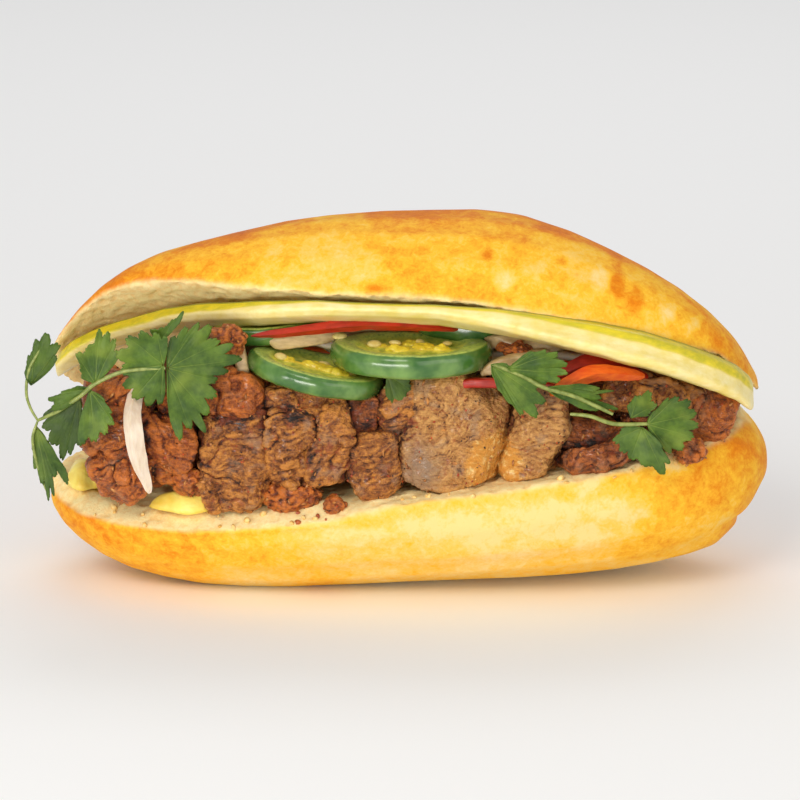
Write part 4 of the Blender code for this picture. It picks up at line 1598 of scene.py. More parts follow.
@dataclass
class Pickles:
    """Julienned carrot and daikon: the strips laid at the front, and the tangle behind them."""

    strip_voxel: float = 0.42 * MM
    core_voxel: float = 1.1 * MM
    core_shrink: float = 1.4 * MM
    tangle_strips: int = 80
    width: float = 3.0 * MM
    leaves_heap: float = 6 * MM  # a strip that strays further than this is not laid
    corner: float = 0.7  # edges sharper than this stay sharp, in radians
    seed: int = 23

    def build(self) -> "Pickles":
        """Makes and lays every strip.

        Returns:
            Itself.
        """
        looks = (CARROT_RED, CARROT_ORANGE, DAIKON_WHITE, DAIKON_SOAKED, DAIKON_HANGING)
        finishes = {look: look.build() for look in looks}
        for number, (node, look) in enumerate(LAID_STRIPS.items()):
            skin = Skin(remeshed(solid_copy(node), self.strip_voxel)).smooth(2)
            skin.points += np.array(NUDGED.get(node, (0.0, 0.0, 0.0))) * MM
            points = skin.points / MM
            skin.push(0.25 * MM + ripple(points * look.stretch, 2.0, number + 4, 2) * 0.14 * MM).write()
            lay(node + "_flesh", skin.mesh, finishes[look], [node])
        bar = Sweep("laid_strip", 4)
        for node, look, width, route in ROUTED_STRIPS:
            line = routes_mesh([curve_through(route, 60)], [1.0])
            mesh = bar.run(line, Width=width * MM, Tip=0.2, Finish=finishes[look])
            skin = Skin(mesh)
            skin.push(ripple(skin.points / MM, 4.0, len(node), 2) * 0.25 * MM).write()
            lay(node + "_flesh", mesh, finishes[look], [node])
            mesh.set_sharp_from_angle(angle=self.corner)
        self._build_tangle(finishes)
        return self

    def _build_tangle(self, finishes: dict) -> None:
        """Lays the strips of the heap, each bent along it, over a smaller core of packed strips.

        Args:
            finishes: the material of each look.
        """
        low, high = (Vector(corner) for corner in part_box("pickle_heap"))
        core = Skin(remeshed(solid_copy("pickle_heap"), self.core_voxel)).smooth(4)
        points = core.points / MM
        core.push(-self.core_shrink + ripple(points * (0.25, 1, 1), 3.6, 8, 2) * MM).write()
        tree = tree_of([core.mesh])
        lay("pickle_core", core.mesh, finishes[DAIKON_SOAKED], ["pickle_heap"])
        chance = random.Random(self.seed)
        looks = (CARROT_RED, CARROT_ORANGE, DAIKON_WHITE, DAIKON_SOAKED, DAIKON_SOAKED)
        piles: dict[StripFinish, list] = {look: [] for look in looks}
        while sum(map(len, piles.values())) < self.tangle_strips:
            route = self._tangle_route(chance, low, high, tree)
            if route:
                piles[chance.choice(looks)].append(route)
        sweep = Sweep("julienne", 4)
        for look, routes in piles.items():
            widths = [chance.uniform(0.75, 1.1) for _ in routes]
            lines, dressed = routes_mesh(routes, widths), finishes[look]
            mesh = sweep.run(lines, Width=self.width / 2, Tip=0.6, Finish=dressed)
            lay("tangle_" + look.name, mesh, dressed)

    def _tangle_route(self, chance: random.Random, low: Vector, high: Vector,
                      tree: BVHTree) -> list[Vector] | None:
        """A strip's route along the skin of the heap.

        Args:
            chance: where its place and bend are drawn from.
            low: the lowest corner of the heap's box.
            high: the highest corner.
            tree: the heap's faces.

        Returns:
            The route, or None where it would leave the heap.
        """
        middle = Vector([chance.uniform(a, b) for a, b in zip(low, high)])
        heading, half = chance.gauss(0.0, 0.35), chance.uniform(12, 24) * MM
        way = Vector((math.cos(heading), math.sin(heading), chance.gauss(0.0, 0.08)))
        bend = Vector((0, chance.gauss(0, 3), chance.gauss(0, 2))) * MM
        route = []
        for k in range(7):
            t = k / 3 - 1
            point = middle + way * half * t + bend * (1 - t * t)
            near, normal, _, distance = tree.find_nearest(point)
            if distance > self.leaves_heap:
                return None
            route.append(near + normal * 0.7 * MM)
        return route


@dataclass
class Cucumber:
    """The long spear against the lid, its pale face to the front and a line of peel along its upper edge."""

    voxel: float = 0.62 * MM
    swell: float = 0.25 * MM
    chin: float = 1.5  # how far its lower edge stands to the front, mm
    slab: float = 2.0  # its height is taken over stretches this long, mm
    # share of the section, from its upper edge down, that is peel, along the spear
    peel_share: Table = (
        (-98, 0.42), (-60, 0.38), (-40, 0.2), (-20, 0.13), (10, 0.13), (40, 0.3), (90, 0.42),
    )
    # how far it is drawn out along the lid's cut, in millimetres
    lift: Table = (
        (-98, 8.0), (-80, 6.0), (-70, 4.0), (-58, 3.5), (-50, 2.4), (-33, 1.5), (-10, 0), (40, 0.3),
        (70, 1.2), (98, 1.2),
    )
    # how high its front stands at most, in millimetres, along the spear
    front: Table = (
        (-97, 7.2), (-72, 6.2), (-58, 6.0), (-41, 6.1), (-33, 5.5), (-25, 5.0), (-12, 4.4), (8, 4.5),
        (20, 5.8), (28, 6.6), (42, 8.2), (58, 9.3), (75, 9.7), (90, 9.6),
    )
    # how much a point's depth and height count across the front, which faces a little upwards
    across: tuple = (0.259, 0.966)

    def build(self, finish: bpy.types.Material) -> "Cucumber":
        """Makes and lays the spear.

        Args:
            finish: flesh and peel.

        Returns:
            Itself.
        """
        skin = Skin(remeshed(solid_copy("cucumber_spear"), self.voxel)).smooth(3)
        points = skin.points / MM
        x = points[:, 0]
        share, height = self._down_the_front(points)
        skin.points[:, 2] += share * np.maximum(height - read(self.front, x), 0.0) * MM
        out = read(self.lift, x) * MM
        _, out_y, out_z = lid_directions(x)
        skin.points += np.stack([np.zeros_like(x), -out * out_z, out * out_y], axis=-1)
        skin.points[:, 1] -= ease(0.45, 1.0, share) * self.chin * MM
        edge = share - read(self.peel_share, x) + ripple(points * (0.3, 1, 1), 4.0, 6, 2) * 0.05
        skin.push(self.swell + ripple(points * (0.4, 1, 1), 7.0, 3, 2) * 0.16 * MM)
        skin.store("edge", skin.spread(ease(0.93, 1.0, share), 2))
        skin.store("rim", skin.spread(ease(0.16, 0.0, share), 2))
        skin.store("peel", skin.spread(ease(0.09, -0.09, edge), 1)).write()
        lay("cucumber_spear_flesh", skin.mesh, finish, ["cucumber_spear"])
        return self

    def _down_the_front(self, points: np.ndarray) -> tuple[np.ndarray, np.ndarray]:
        """Where points lie across the spear's front.

        Args:
            points: in millimetres, one row of three for each.

        Returns:
            The share of the way down, from 0 at the upper edge to 1 at the lower, and the front's height
            in millimetres at each point.
        """
        x = points[:, 0]
        order = np.round(x / self.slab).astype(int)
        first = order.min()
        seen = points[:, 2] * self.across[1] + points[:, 1] * self.across[0]
        top, bottom = np.full(order.max() - first + 1, -1e9), np.full(order.max() - first + 1, 1e9)
        np.maximum.at(top, order - first, seen)
        np.minimum.at(bottom, order - first, seen)
        places = (np.arange(len(top)) + first) * self.slab
        height = np.interp(np.clip(x, places[3], places[-4]), places, top - bottom)
        return np.clip((np.interp(x, places, top) - seen) / height, 0, 1), height


@dataclass
class PepperRing:
    """One thick ring of jalapeno, hollow on both faces round its pith."""

    node: str
    centre: tuple
    half: tuple
    roll: float
    turns: int = 96
    # share of the radius, share of the half thickness, zone of the finish
    profile: tuple = (
        (0.0, 0.66, 2.6), (0.2, 0.6, 2.6), (0.4, 0.5, 2.2), (0.55, 0.44, 2.0), (0.66, 0.5, 1.8),
        (0.72, 0.76, 1.4), (0.77, 0.97, 1.1), (0.86, 1.02, 0.9), (0.93, 0.99, 0.7), (0.97, 0.9, 0.2),
        (1.0, 0.6, 0.0), (1.012, 0.2, 0.0),
    )

    def place(self) -> Matrix:
        """Where the ring lies."""
        lean = Matrix.Rotation(math.radians(self.roll), 4, "Y")
        return Matrix.Translation(Vector(self.centre) * MM) @ lean

    def build(self) -> bpy.types.Mesh:
        """Makes the ring.

        Returns:
            Its mesh in place, with "zone" stored on its points.
        """
        rows, zones = [], []
        under = [(share, -height, zone) for share, height, zone in reversed(self.profile)]
        for share, height, zone in [*self.profile, *under]:
            row = []
            for k in range(self.turns):
                angle = 2 * math.pi * k / self.turns
                wobble = 1 + 0.03 * math.sin(3 * angle + self.centre[0]) + 0.012 * math.sin(7 * angle)
                ridge = math.exp(-((math.sin(angle + 0.3) / 0.3) ** 2)) * (share < 0.75)
                lift = height + math.copysign(ridge * 0.3 * share / 0.75, height)
                row.append(Vector((
                    self.half[0] * MM * share * wobble * math.cos(angle),
                    self.half[1] * MM * share * wobble * math.sin(angle),
                    self.half[2] * MM * lift,
                )))
                zones.append(zone + ridge * 0.8 * (0.1 < share < 0.6))
            rows.append(row)
        bm = bmesh.new()
        layer = bm.verts.layers.float.new("zone")
        loops = []
        for row, start in zip(rows, range(0, len(zones), self.turns)):
            loops.append([bm.verts.new(point) for point in row])
            for v, zone in zip(loops[-1], zones[start : start + self.turns]):
                v[layer] = zone
        for lower, upper in zip(loops, loops[1:]):
            for k in range(self.turns):
                after = (k + 1) % self.turns
                bm.faces.new((lower[k], upper[k], upper[after], lower[after]))
        bmesh.ops.remove_doubles(bm, verts=bm.verts, dist=MERGE)
        bmesh.ops.recalc_face_normals(bm, faces=bm.faces)
        bm.transform(self.place())
        skin = Skin(mesh_of(self.node + "_ring", bm))
        skin.push(ripple(skin.points / MM, 3.0, 5, 2) * 0.12 * MM).write()
        return skin.mesh

    def seed_place(self, along: float, deep: float, lift: float) -> Matrix:
        """Where a seed lies on the ring's upper face.

        Args:
            along: share of the long radius from the middle.
            deep: share of the short radius, positive to the back.
            lift: height over the middle plane, as a share of the half thickness.

        Returns:
            The seed's place.
        """
        spot = Vector((along * self.half[0], deep * self.half[1], lift * self.half[2])) * MM
        return self.place() @ Matrix.Translation(spot)


PEPPER_RINGS = (
    PepperRing("jalapeno_slice_left", (-25.5, -27.5, 63.6), (18.6, 14.5, 2.7), 12.0),
    PepperRing("jalapeno_slice_right", (0.3, -27.0, 68.6), (21.6, 15.0, 3.2), 0.5),
    PepperRing("jalapeno_slice_back_left", (-39.0, -13.0, 72.6), (16.0, 11.0, 2.4), -5.0),
    PepperRing("jalapeno_slice_back_right", (16.5, -11.5, 73.2), (15.0, 10.0, 3.0), 6.0),
)


@dataclass
class Jalapenos:
    """Rings of jalapeno with their seeds and pith."""

    seed_size: tuple = (1.9, 1.5, 0.8)  # half sizes, mm
    # ring, share along, share deep, turn in degrees
    seeds: tuple = (
        (1, -0.9, 0.4, 20), (1, -0.46, 0.1, 25), (1, -0.2, 0.2, -20), (1, 0.12, 0.25, 60), (1, 0.46, 0.2, 15),
        (0, -0.55, 0.1, 30), (0, 0.1, 0.2, -15), (0, 0.5, 0.05, 35), (2, -0.3, 0.1, 10), (2, 0.2, -0.1, 70),
        (3, -0.3, 0.0, 25), (3, 0.25, 0.1, -40),
    )
    # ring, share along, share deep, half sizes in millimetres
    pith: tuple = (
        (1, -0.17, -0.1, 3.4, 2.2, 1.2), (1, 0.16, 0.05, 3.0, 2.6, 1.3), (1, 0.36, -0.05, 3.2, 2.2, 1.2),
        (1, -0.4, 0.15, 2.4, 2.0, 0.9), (1, 0.0, 0.3, 2.6, 2.4, 1.1), (0, -0.05, 0.1, 3.4, 2.6, 1.3),
        (0, 0.14, -0.05, 3.0, 2.4, 1.3), (0, 0.34, -0.1, 3.2, 2.2, 1.2), (0, -0.45, 0.1, 2.0, 1.6, 0.9),
        (2, 0.0, 0.0, 4.0, 2.4, 1.0), (3, 0.0, 0.0, 4.0, 2.4, 1.0),
    )

    def build(self, finish: bpy.types.Material, seed_finish: bpy.types.Material) -> "Jalapenos":
        """Makes and lays the rings and their seeds.

        Args:
            finish: peel, wall and core.
            seed_finish: the seeds.

        Returns:
            Itself.
        """
        for ring in PEPPER_RINGS:
            lay(ring.node + "_ring", ring.build(), finish, [ring.node])
        bm = bmesh.new()
        chance = random.Random(6)
        for number, along, deep, turn in self.seeds:
            lift = 1.1 if along**2 + deep**2 > 0.7 else 0.8
            tilt = Matrix.Rotation(math.radians(turn), 4, "Z")
            tilt = tilt @ Matrix.Rotation(math.radians(turn / 2), 4, "X")
            size = sized(self.seed_size, chance.uniform(0.75, 1.2) * MM)
            place = PEPPER_RINGS[number].seed_place(along, deep, lift) @ tilt @ size
            bmesh.ops.create_uvsphere(bm, u_segments=16, v_segments=8, radius=1, matrix=place)
        # the spheres' points and faces come in no fixed order, so they are sorted along a slanting line
        line = Vector((1.0, 17.3, 263.7))
        bm.verts.sort(key=lambda v: v.co.dot(line))
        bm.faces.sort(key=lambda face: face.calc_center_median().dot(line))
        lay("jalapeno_seeds", mesh_of("jalapeno_seeds", bm), seed_finish)
        self._lay_pith()
        return self

    def _lay_pith(self) -> None:
        """The soft yellow lumps that hold the seeds."""
        places = (
            PEPPER_RINGS[number].seed_place(along, deep, 0.55) @ sized(half)
            for number, along, deep, *half in self.pith
        )
        skin = Skin(lumps("jalapeno_pith", places, 4))
        skin.push(ripple(skin.points / MM, 1.8, 15, 2) * 0.5 * MM).write()
        look = PlainFinish("jalapeno_pith", paint(252, 230, 74), paint(226, 196, 44), 0.3).build()
        lay("jalapeno_pith", skin.mesh, look)


@dataclass(frozen=True)
class Leaf:
    """One coriander leaf: toothed lobes that reach out from its foot, with a vein along every other one."""

    foot: tuple
    # direction in degrees and reach in millimetres of each
    lobes: tuple
    # turns about X and about Z, in degrees
    tilt: tuple = (0, 0)
    shade: float = 0.0
    seed: int = 0
    # how far it is drawn in between two lobes, as a share of its reach
    notch: float = 0.15
    rows: int = 14
    steps: int = 300
    # width of a tooth in millimetres, and how far the blade goes on past its outer lobes in degrees
    tooth: float = 1.5
    margin: float = 12.0
    fold: float = 0.4  # how far a vein lies in its fold, mm
    thickness: float = 0.3 * MM

    def outline(self, angles: np.ndarray) -> np.ndarray:
        """How far the leaf reaches along each direction, before its teeth.

        Args:
            angles: the directions, in degrees.

        Returns:
            One reach a direction, in millimetres.
        """
        directions, reaches = np.array(self.lobes, dtype=float).T
        between = np.interp(angles, directions, np.arange(len(directions)))
        lower = np.minimum(between.astype(int), len(directions) - 2)
        share = ease(0, 1, between - lower)
        reach = reaches[lower] * (1 - share) + reaches[lower + 1] * share
        for middle, gap in zip((directions[:-1] + directions[1:]) / 2, np.diff(directions)):
            reach *= 1 - self.notch * np.exp(-np.abs((angles - middle) / (0.22 * gap)) ** 1.3)
        beyond = np.maximum(directions[0] - angles, angles - directions[-1])
        return reach * (1 - np.clip(beyond / self.margin, 0, 1) ** 1.6) ** 0.6

    def build(self) -> bpy.types.Mesh:
        """Makes the leaf.

        Returns:
            Its mesh in place, with "vein" and "shade" stored on its points.
        """
        directions = np.array(self.lobes, dtype=float)[:, 0]
        angles = np.linspace(directions[0] - self.margin, directions[-1] + self.margin, self.steps)
        turn, smooth = np.radians(angles), self.outline(angles)
        run = np.concatenate(([0], np.cumsum(np.hypot(np.diff(smooth), smooth[1:] * np.diff(turn)))))
        chance = np.random.default_rng(self.seed)
        knots = np.arange(0, run[-1] + 4, 2.2)
        phase = run / self.tooth + np.interp(run, knots, chance.uniform(-0.35, 0.35, len(knots)))
        deep = np.interp(run, knots, chance.uniform(0.25, 0.85, len(knots)))
        bite = (1 - np.abs(np.sin(np.pi * phase))) ** 1.3 * deep * ease(2, 8, smooth)
        out = np.linspace(0.03, 1, self.rows)[:, None]
        reach = out * (smooth - bite * out**3)
        far = np.radians(np.abs(angles[:, None] - directions[1::2]).min(axis=1)) * reach
        x, z = reach * np.cos(turn), reach * np.sin(turn)
        spots = np.stack([x, np.full_like(x, self.seed * 7.0), z], axis=-1).reshape(-1, 3)
        sway = ripple(spots, 7.0, self.seed, 2).reshape(x.shape)
        fold = self.fold * (1 - np.exp(-((far / 2.2) ** 2)))
        side = np.abs(np.sin((reach - far) * math.pi / 2.1)) ** 14 * (far < 4.5) * 0.45
        side = side * ease(1.5, 4, reach)
        vein = np.maximum(np.exp(-((far / 0.24) ** 2)) * (1 - 0.5 * out), side)
        depth = 0.08 * vein - fold * out - 1.6 * sway * out
        points = np.stack([x, depth, z], axis=-1).reshape(-1, 3) * MM
        faces = [
            (k, k + 1, k + 1 + self.steps, k + self.steps)
            for row in range(self.rows - 1)
            for k in range(row * self.steps, (row + 1) * self.steps - 1)
        ]
        mesh = bpy.data.meshes.new("leaf")
        mesh.from_pydata(points.tolist(), [], faces)
        Skin(mesh).store("vein", vein.ravel()).store("shade", np.full(vein.size, self.shade))
        pitch, yaw = (math.radians(angle) for angle in self.tilt)
        turned = Matrix.Rotation(pitch, 4, "X") @ Matrix.Rotation(yaw, 4, "Z")
        mesh.transform(Matrix.Translation(Vector(self.foot) * MM) @ turned)
        thing = in_scene("leaf", mesh)
        modifier = thing.modifiers.new("thickness", "SOLIDIFY")
        modifier.thickness = self.thickness
        modifier.offset = 0.0
        return baked(thing)


@dataclass
class Sprig:
    """A coriander sprig: its stems and its leaves."""

    node: str
    stems: tuple
    leaves: tuple
    stem_radius: float = 0.6 * MM
    side_stem: float = 0.7  # a side stem's width against the main one's

    def build(self, leaf_finish: bpy.types.Material, stem_finish: bpy.types.Material) -> None:
        """Makes and lays the sprig.

        Args:
            leaf_finish: the blades.
            stem_finish: the stems.
        """
        name = self.node + "_leaves"
        blades = joined(name, [leaf.build() for leaf in self.leaves])
        lay(name, blades, leaf_finish, [self.node])
        routes = [curve_through(stem, 40) for stem in self.stems]
        widths = [1.0] + [self.side_stem] * (len(routes) - 1)
        mesh = Sweep("coriander_stem", 10).run(
            routes_mesh(routes, widths), Width=self.stem_radius, Tip=0.7, Finish=stem_finish,
        )
        lay(self.node + "_stem", mesh, stem_finish)


SPRIGS = (
    Sprig("coriander_left", stems=(
        (
            (-101, -36, 52.5), (-95, -38.5, 56), (-89, -40, 60.5), (-85, -40.5, 64), (-77, -40.5, 67.5),
            (-66, -41, 68.5),
        ),
        ((-101, -36, 52.5), (-103, -35.5, 56), (-104, -35.5, 60.5), (-103, -35.5, 67), (-99, -36, 74)),
        ((-101, -36, 52.5), (-102.5, -36, 47), (-101, -35.5, 38.5), (-98.5, -35.5, 31.5)),
    ), leaves=(
        Leaf((-66.5, -41.5, 69.5), tilt=(6, -5), shade=0, seed=1, notch=0.2, lobes=(
            (85, 9), (100, 10), (120, 12), (140, 13), (165, 13.5), (190, 12), (210, 13), (230, 13.5),
            (250, 13.5), (265, 12),
        )),
        Leaf((-67.5, -40.5, 75), tilt=(0, 8), shade=0.1, seed=2, lobes=(
            (55, 11.5), (60, 8.5), (75, 5), (120, 5),
        )),
        Leaf((-65.5, -41, 68.5), tilt=(-4, 7), shade=0.12, seed=3, notch=0.2, lobes=(
            (-80, 20.5), (-70, 18.5), (-60, 21), (-50, 17.5), (-30, 16), (-15, 14.5), (-5, 17), (5, 21),
            (20, 19.5), (25, 16.5), (45, 17), (55, 15.5), (65, 13), (80, 9),
        )),
        Leaf((-85, -40.5, 64), tilt=(4, 10), shade=0.1, seed=4, lobes=(
            (55, 11.5), (65, 14), (75, 15.5), (85, 16), (95, 11.5), (120, 10.5), (130, 6.5), (150, 4.5),
        )),
        Leaf((-86, -39.5, 62.5), tilt=(0, -8), shade=0.25, seed=5, lobes=(
            (175, 4.5), (190, 9), (195, 13), (210, 13),
        )),
        Leaf((-86.5, -40, 62), tilt=(-8, 4), shade=0.05, seed=6, lobes=(
            (-100, 15.5), (-85, 14.5), (-70, 13), (-55, 11.5), (-45, 8.5), (-35, 5),
        )),
        Leaf((-89.5, -38.5, 59.5), tilt=(4, -10), shade=0.7, seed=7, lobes=(
            (-150, 12), (-140, 14), (-120, 15.5), (-105, 19), (-100, 17), (-90, 13.5),
        )),
        Leaf((-102.5, -35.5, 62.5), tilt=(4, -12), shade=0.4, seed=8, lobes=(
            (50, 12), (55, 14.5), (75, 15.5), (85, 13), (95, 8.5), (120, 4),
        )),
        Leaf((-101.5, -35.5, 50.5), tilt=(-4, -12), shade=0.3, seed=9, notch=0.2, lobes=(
            (-100, 7), (-95, 12), (-85, 16.5), (-80, 21), (-75, 20), (-70, 15), (-60, 18),
        )),
    )),
    Sprig("coriander_middle", stems=(
        ((22.5, -41, 69.5), (30, -41, 66.5), (36.5, -41, 63), (44.5, -40.5, 60.5), (55, -40.5, 55.5)),
    ), leaves=(
        Leaf((26.5, -41.5, 68.5), tilt=(8, -4), shade=0, seed=10, lobes=(
            (-30, 6), (-25, 11.5), (-15, 15), (-5, 16.5), (5, 16.5), (20, 14.5), (30, 12), (35, 8.5),
        )),
        Leaf((22, -41, 69.5), tilt=(-6, 6), shade=0, seed=11, lobes=(
            (-80, 3.5), (-75, 7.5), (-65, 12), (-60, 16.5), (-50, 19.5), (-35, 18.5), (-25, 14.5),
            (-15, 8.5), (0, 4.5),
        )),
        Leaf((36.5, -40.5, 63), tilt=(10, 2), shade=0.05, seed=12, notch=0.25, lobes=(
            (-25, 16.5), (-20, 22), (-10, 16), (-5, 19.5), (0, 15),
        )),
    )),
    Sprig("coriander_right", stems=(
        ((43.5, -38.5, 55), (49, -39, 54.5), (55.5, -39.5, 52.5), (65, -39.5, 52.5)),
    ), leaves=(
        Leaf((64.5, -40, 52.5), tilt=(5, 8), shade=0, seed=13, lobes=(
            (-65, 8), (-55, 11.5), (-40, 13), (-20, 14), (-5, 14.5), (10, 14), (30, 13.5), (45, 11.5),
            (55, 9.5), (65, 4.5),
        )),
        Leaf((60, -39, 54), tilt=(8, -10), shade=0.2, seed=14, lobes=(
            (20, 5.5), (35, 9), (60, 10.5), (75, 7), (110, 3.5),
        )),
        Leaf((63, -39.5, 51.5), tilt=(-8, -5), shade=0.1, seed=15, lobes=(
            (-175, 6), (-155, 9), (-130, 9), (-110, 9.5), (-85, 11), (-65, 14.5), (-50, 12.5), (-45, 8),
        )),
    )),
)


@dataclass
class Coriander:
    """The three sprigs, and a dark leaf tucked in under the jalapenos."""

    tucked: Leaf = Leaf((-6, -35, 65), tilt=(0, 5), shade=0.5, seed=21, lobes=(
        (-90, 6.5), (-75, 11), (-60, 9.5), (-35, 8), (-5, 6.5),
    ))
    tucked_stem: tuple = ((-7, -32.6, 60.7), (-3.7, -33.2, 63.1), (1.2, -32.4, 65.2))
    tucked_radius: float = 0.4 * MM

    def build(self) -> "Coriander":
        """Makes and lays them.

        Returns:
            Itself.
        """
        leaf_finish = LeafFinish().build()
        stem_finish = PlainFinish("coriander_stem", paint(150, 160, 82), paint(112, 126, 54)).build()
        for sprig in SPRIGS:
            sprig.build(leaf_finish, stem_finish)
        lay("coriander_tucked_leaf", self.tucked.build(), leaf_finish)
        route = routes_mesh([curve_through(self.tucked_stem, 16)], [1.0])
        mesh = Sweep("tucked_stem", 8).run(route, Width=self.tucked_radius, Tip=0.7, Finish=stem_finish)
        lay("coriander_tucked_stem", mesh, stem_finish)
        return self


@dataclass(frozen=True)
class Puddle:
    """A thick smear that lies on the lower cut. Lengths in millimetres."""

    centre: tuple
    half: tuple
    turn: float
    height: float
    seed: int
    corners: int = 64
    rings_above: int = 14
    rings_below: int = 5
    # how far its edge stands over the bread, and how far its underside is sunk in it
    edge: float = 0.3
    sunk: float = 0.5

    def build(self, roll: Roll) -> bpy.types.Mesh:
        """Makes the smear.

        Args:
            roll: whose cut it lies on.

        Returns:
            Its closed mesh in place.
        """
        angles = [2 * math.pi * k / self.corners for k in range(self.corners)]
        above, below = np.linspace(0.0, 1.0, self.rings_above), np.linspace(1.0, 0.0, self.rings_below)[1:]
        rows = [[self._point(roll, share, angle, True) for angle in angles] for share in above]
        rows += [[self._point(roll, share, angle, False) for angle in angles] for share in below]
        return turned_mesh("puddle", rows)

    def _point(self, roll: Roll, share: float, angle: float, upper: bool) -> Vector:
        """A point of the smear's skin.

        Args:
            roll: whose cut it lies on.
            share: of the way out from the middle.
            angle: around the middle, in radians.
            upper: whether it is on the upper face.

        Returns:
            The point, in metres.
        """
        turn = math.radians(self.turn)
        lobes = 1 + 0.1 * math.sin(3 * angle + self.seed) + 0.05 * math.sin(5 * angle + self.seed * 2)
        a = self.half[0] * share * lobes * math.cos(angle)
        b = self.half[1] * share * lobes * math.sin(angle)
        x = (self.centre[0] + a * math.cos(turn) - b * math.sin(turn)) * MM
        y = (self.centre[1] + a * math.sin(turn) + b * math.cos(turn)) * MM
        spot = np.array([[x, y, self.seed * MM]]) / MM
        uneven = 1 + 0.16 * float(ripple(spot, 5.0, self.seed, 1)[0])
        swell = self.height * (1 - share**2.4) ** 0.7 * uneven
        lift = swell + self.edge if upper else -self.sunk
        bread = max(roll.floor_at(x, y, 45 * MM), cut_height(x / MM, y / MM) * MM)
        return Vector((x, y, bread + lift * MM))


@dataclass
class Dressing:
    """The spread on the lower cut and the crumbs along its rim."""

    puddles: tuple = (
        Puddle((-90.0, -8.0), (5.4, 8.0), 4, 5.2, 2),
        Puddle((-60.6, -28.8), (9.6, 5.4), -6, 4.4, 5),
        Puddle((-57.0, -30.3), (5.0, 3.0), 12, 2.0, 9),
    )
    crumb_seed: int = 31
    crumbs: int = 26
    sauce_crumbs: int = 8
    from_rim: tuple = (0.8, 6.5)  # how far from the roll's front the crumbs lie, mm

    def build(self, roll: Roll) -> "Dressing":
        """Makes and lays the spread, the bread crumbs and the sauce crumbs.

        Args:
            roll: whose cut they lie on.

        Returns:
            Itself.
        """
        finish = SauceFinish("mayonnaise", paint(254, 232, 116), paint(240, 204, 74)).build()
        mesh = joined("mayonnaise", [puddle.build(roll) for puddle in self.puddles])
        lay("mayonnaise", mesh, finish)
        loose = PlainFinish("loose_crumb", paint(246, 214, 140), paint(222, 170, 84), 0.7)
        self._lay_crumbs(roll, "bread_crumbs", (-88, 75), self.crumbs, (0.35, 0.85), loose)
        saucy = PlainFinish("sauce_crumb", paint(200, 104, 40), paint(146, 60, 22), 0.35)
        self._lay_crumbs(roll, "sauce_crumbs", (-31, -20), self.sauce_crumbs, (0.3, 0.6), saucy)
        return self

    def _lay_crumbs(
        self, roll: Roll, name: str, span: tuple, count: int, sizes: tuple, look: PlainFinish,
    ) -> None:
        """Loose bits along the front of the lower cut.

        Args:
            roll: whose cut they lie on.
            name: the piece's name.
            span: where they begin and end along the roll, in millimetres.
            count: how many.
            sizes: the smallest and largest radius, in millimetres.
            look: their finish.
        """
        chance = random.Random(self.crumb_seed + count)
        bm = bmesh.new()
        for _ in range(count):
            x = chance.uniform(*span)
            y = -half_depth(x) + chance.uniform(*self.from_rim)
            size = chance.uniform(*sizes) * MM
            height = roll.floor_at(x * MM, y * MM, 55 * MM) + size * 0.4
            turn = Matrix.Rotation(chance.uniform(0, 6), 4, (chance.random(), chance.random(), 1.0))
            place = Matrix.Translation((x * MM, y * MM, height)) @ turn
            made = bmesh.ops.create_icosphere(bm, subdivisions=2, radius=size)["verts"]
            shape = [chance.uniform(0.6, 1.5) for _ in range(3)]
            for v in made:
                v.co = Vector([c * share * chance.uniform(0.8, 1.2) for c, share in zip(v.co, shape)])
            bmesh.ops.transform(bm, matrix=place, verts=made)
        lay(name, mesh_of(name, bm), look.build())


# --- the studio -------------------------------------------------------------------------------
@dataclass(frozen=True)
class Lamp:
    """A soft lamp that faces a point of the sandwich."""

    name: str
    place: tuple
    size: tuple
    power: float
    colour: tuple = (1.0, 1.0, 1.0)

    def build(self, target: Vector) -> None:
        """Hangs the lamp.

        Args:
            target: the point that it faces.
        """
        light = bpy.data.lights.new(self.name, "AREA")
        light.shape = "RECTANGLE"
        light.size, light.size_y = self.size
        light.energy, light.color = self.power, self.colour
        thing = in_scene(self.name, light)
        thing.location = self.place
        thing.rotation_euler = (target - thing.location).to_track_quat("-Z", "Y").to_euler()


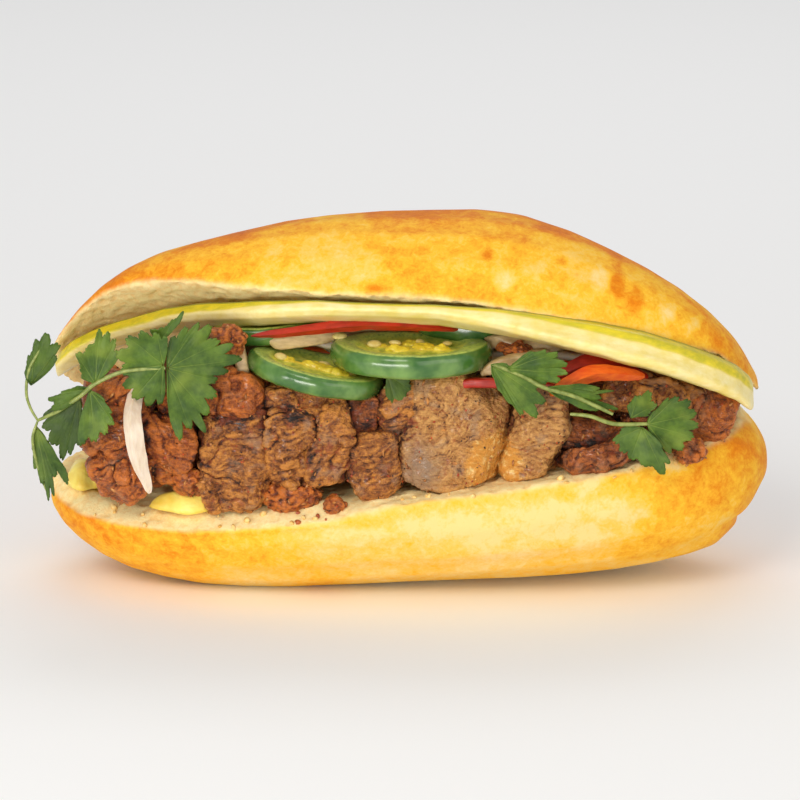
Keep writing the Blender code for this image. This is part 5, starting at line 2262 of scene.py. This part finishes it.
@dataclass
class Studio:
    """A plain pale floor, soft light and the camera."""

    target: tuple = (-0.00263, -0.02, 0.05397)
    distance: float = 1.6
    elevation: float = math.radians(15)
    field_width: float = 0.2193
    sensor: float = 36  # width in millimetres, the unit that a lens is given in
    far: float = 20  # nothing further from the camera shows
    floor_half: float = 4.0
    floor_tone: float = 0.96
    sky: float = 0.55
    lamps: tuple = (
        Lamp("key_lamp", (-0.4, -0.85, 0.8), (0.6, 0.45), 4.3, (1.0, 0.96, 0.9)),
        Lamp("fill_lamp", (0.7, -0.9, 0.4), (0.8, 0.6), 2.3, (1.0, 0.96, 0.9)),
        Lamp("low_lamp", (-0.45, -0.95, 0.07), (0.8, 0.14), 4.4, (1.0, 0.97, 0.92)),
        Lamp("back_lamp", (0.1, 0.8, 0.9), (0.9, 0.4), 2.4),
    )

    def build(self) -> "Studio":
        """Sets everything up.

        Returns:
            Itself.
        """
        target = Vector(self.target)
        for lamp in self.lamps:
            lamp.build(target)
        world = bpy.data.worlds.new("studio")
        world.use_nodes = True
        background = world.node_tree.nodes["Background"]
        background.inputs["Color"].default_value = (1, 1, 1, 1)
        background.inputs["Strength"].default_value = self.sky
        bpy.context.scene.world = world
        self._build_floor()
        camera = bpy.data.cameras.new("camera")
        camera.sensor_width = self.sensor
        camera.lens = self.sensor / self.field_width * self.distance
        camera.clip_end = self.far
        thing = in_scene("camera", camera)
        back = Vector((0, -math.cos(self.elevation), math.sin(self.elevation)))
        thing.location = target + back * self.distance
        thing.rotation_euler = (math.pi / 2 - self.elevation, 0, 0)
        bpy.context.scene.camera = thing
        bpy.context.scene.view_settings.view_transform = "Standard"
        return self

    def _build_floor(self) -> None:
        """A wide plain floor."""
        bm = bmesh.new()
        bmesh.ops.create_grid(bm, x_segments=1, y_segments=1, size=self.floor_half)
        mesh = mesh_of("floor", bm)
        g = Graph("studio_floor")
        tone = self.floor_tone
        mesh.materials.append(g.finish(Base_Color=(tone, tone, tone, 1), Roughness=0.9))
        in_scene("studio_floor", mesh)


def main() -> None:
    """Builds the sandwich part by part, then the studio."""
    logging.basicConfig(level=logging.INFO, format="%(name)s %(message)s")
    roll = Roll().build(BreadFinish().build())
    MeatFilling().build()
    Pickles().build()
    Cucumber().build(CucumberFinish().build())
    seed_finish = PlainFinish("jalapeno_seed", paint(250, 232, 150), paint(232, 204, 110), 0.35).build()
    Jalapenos().build(PepperFinish().build(), seed_finish)
    Coriander().build()
    Dressing().build(roll)
    Studio().build()


if __name__ == "__main__":
    main()
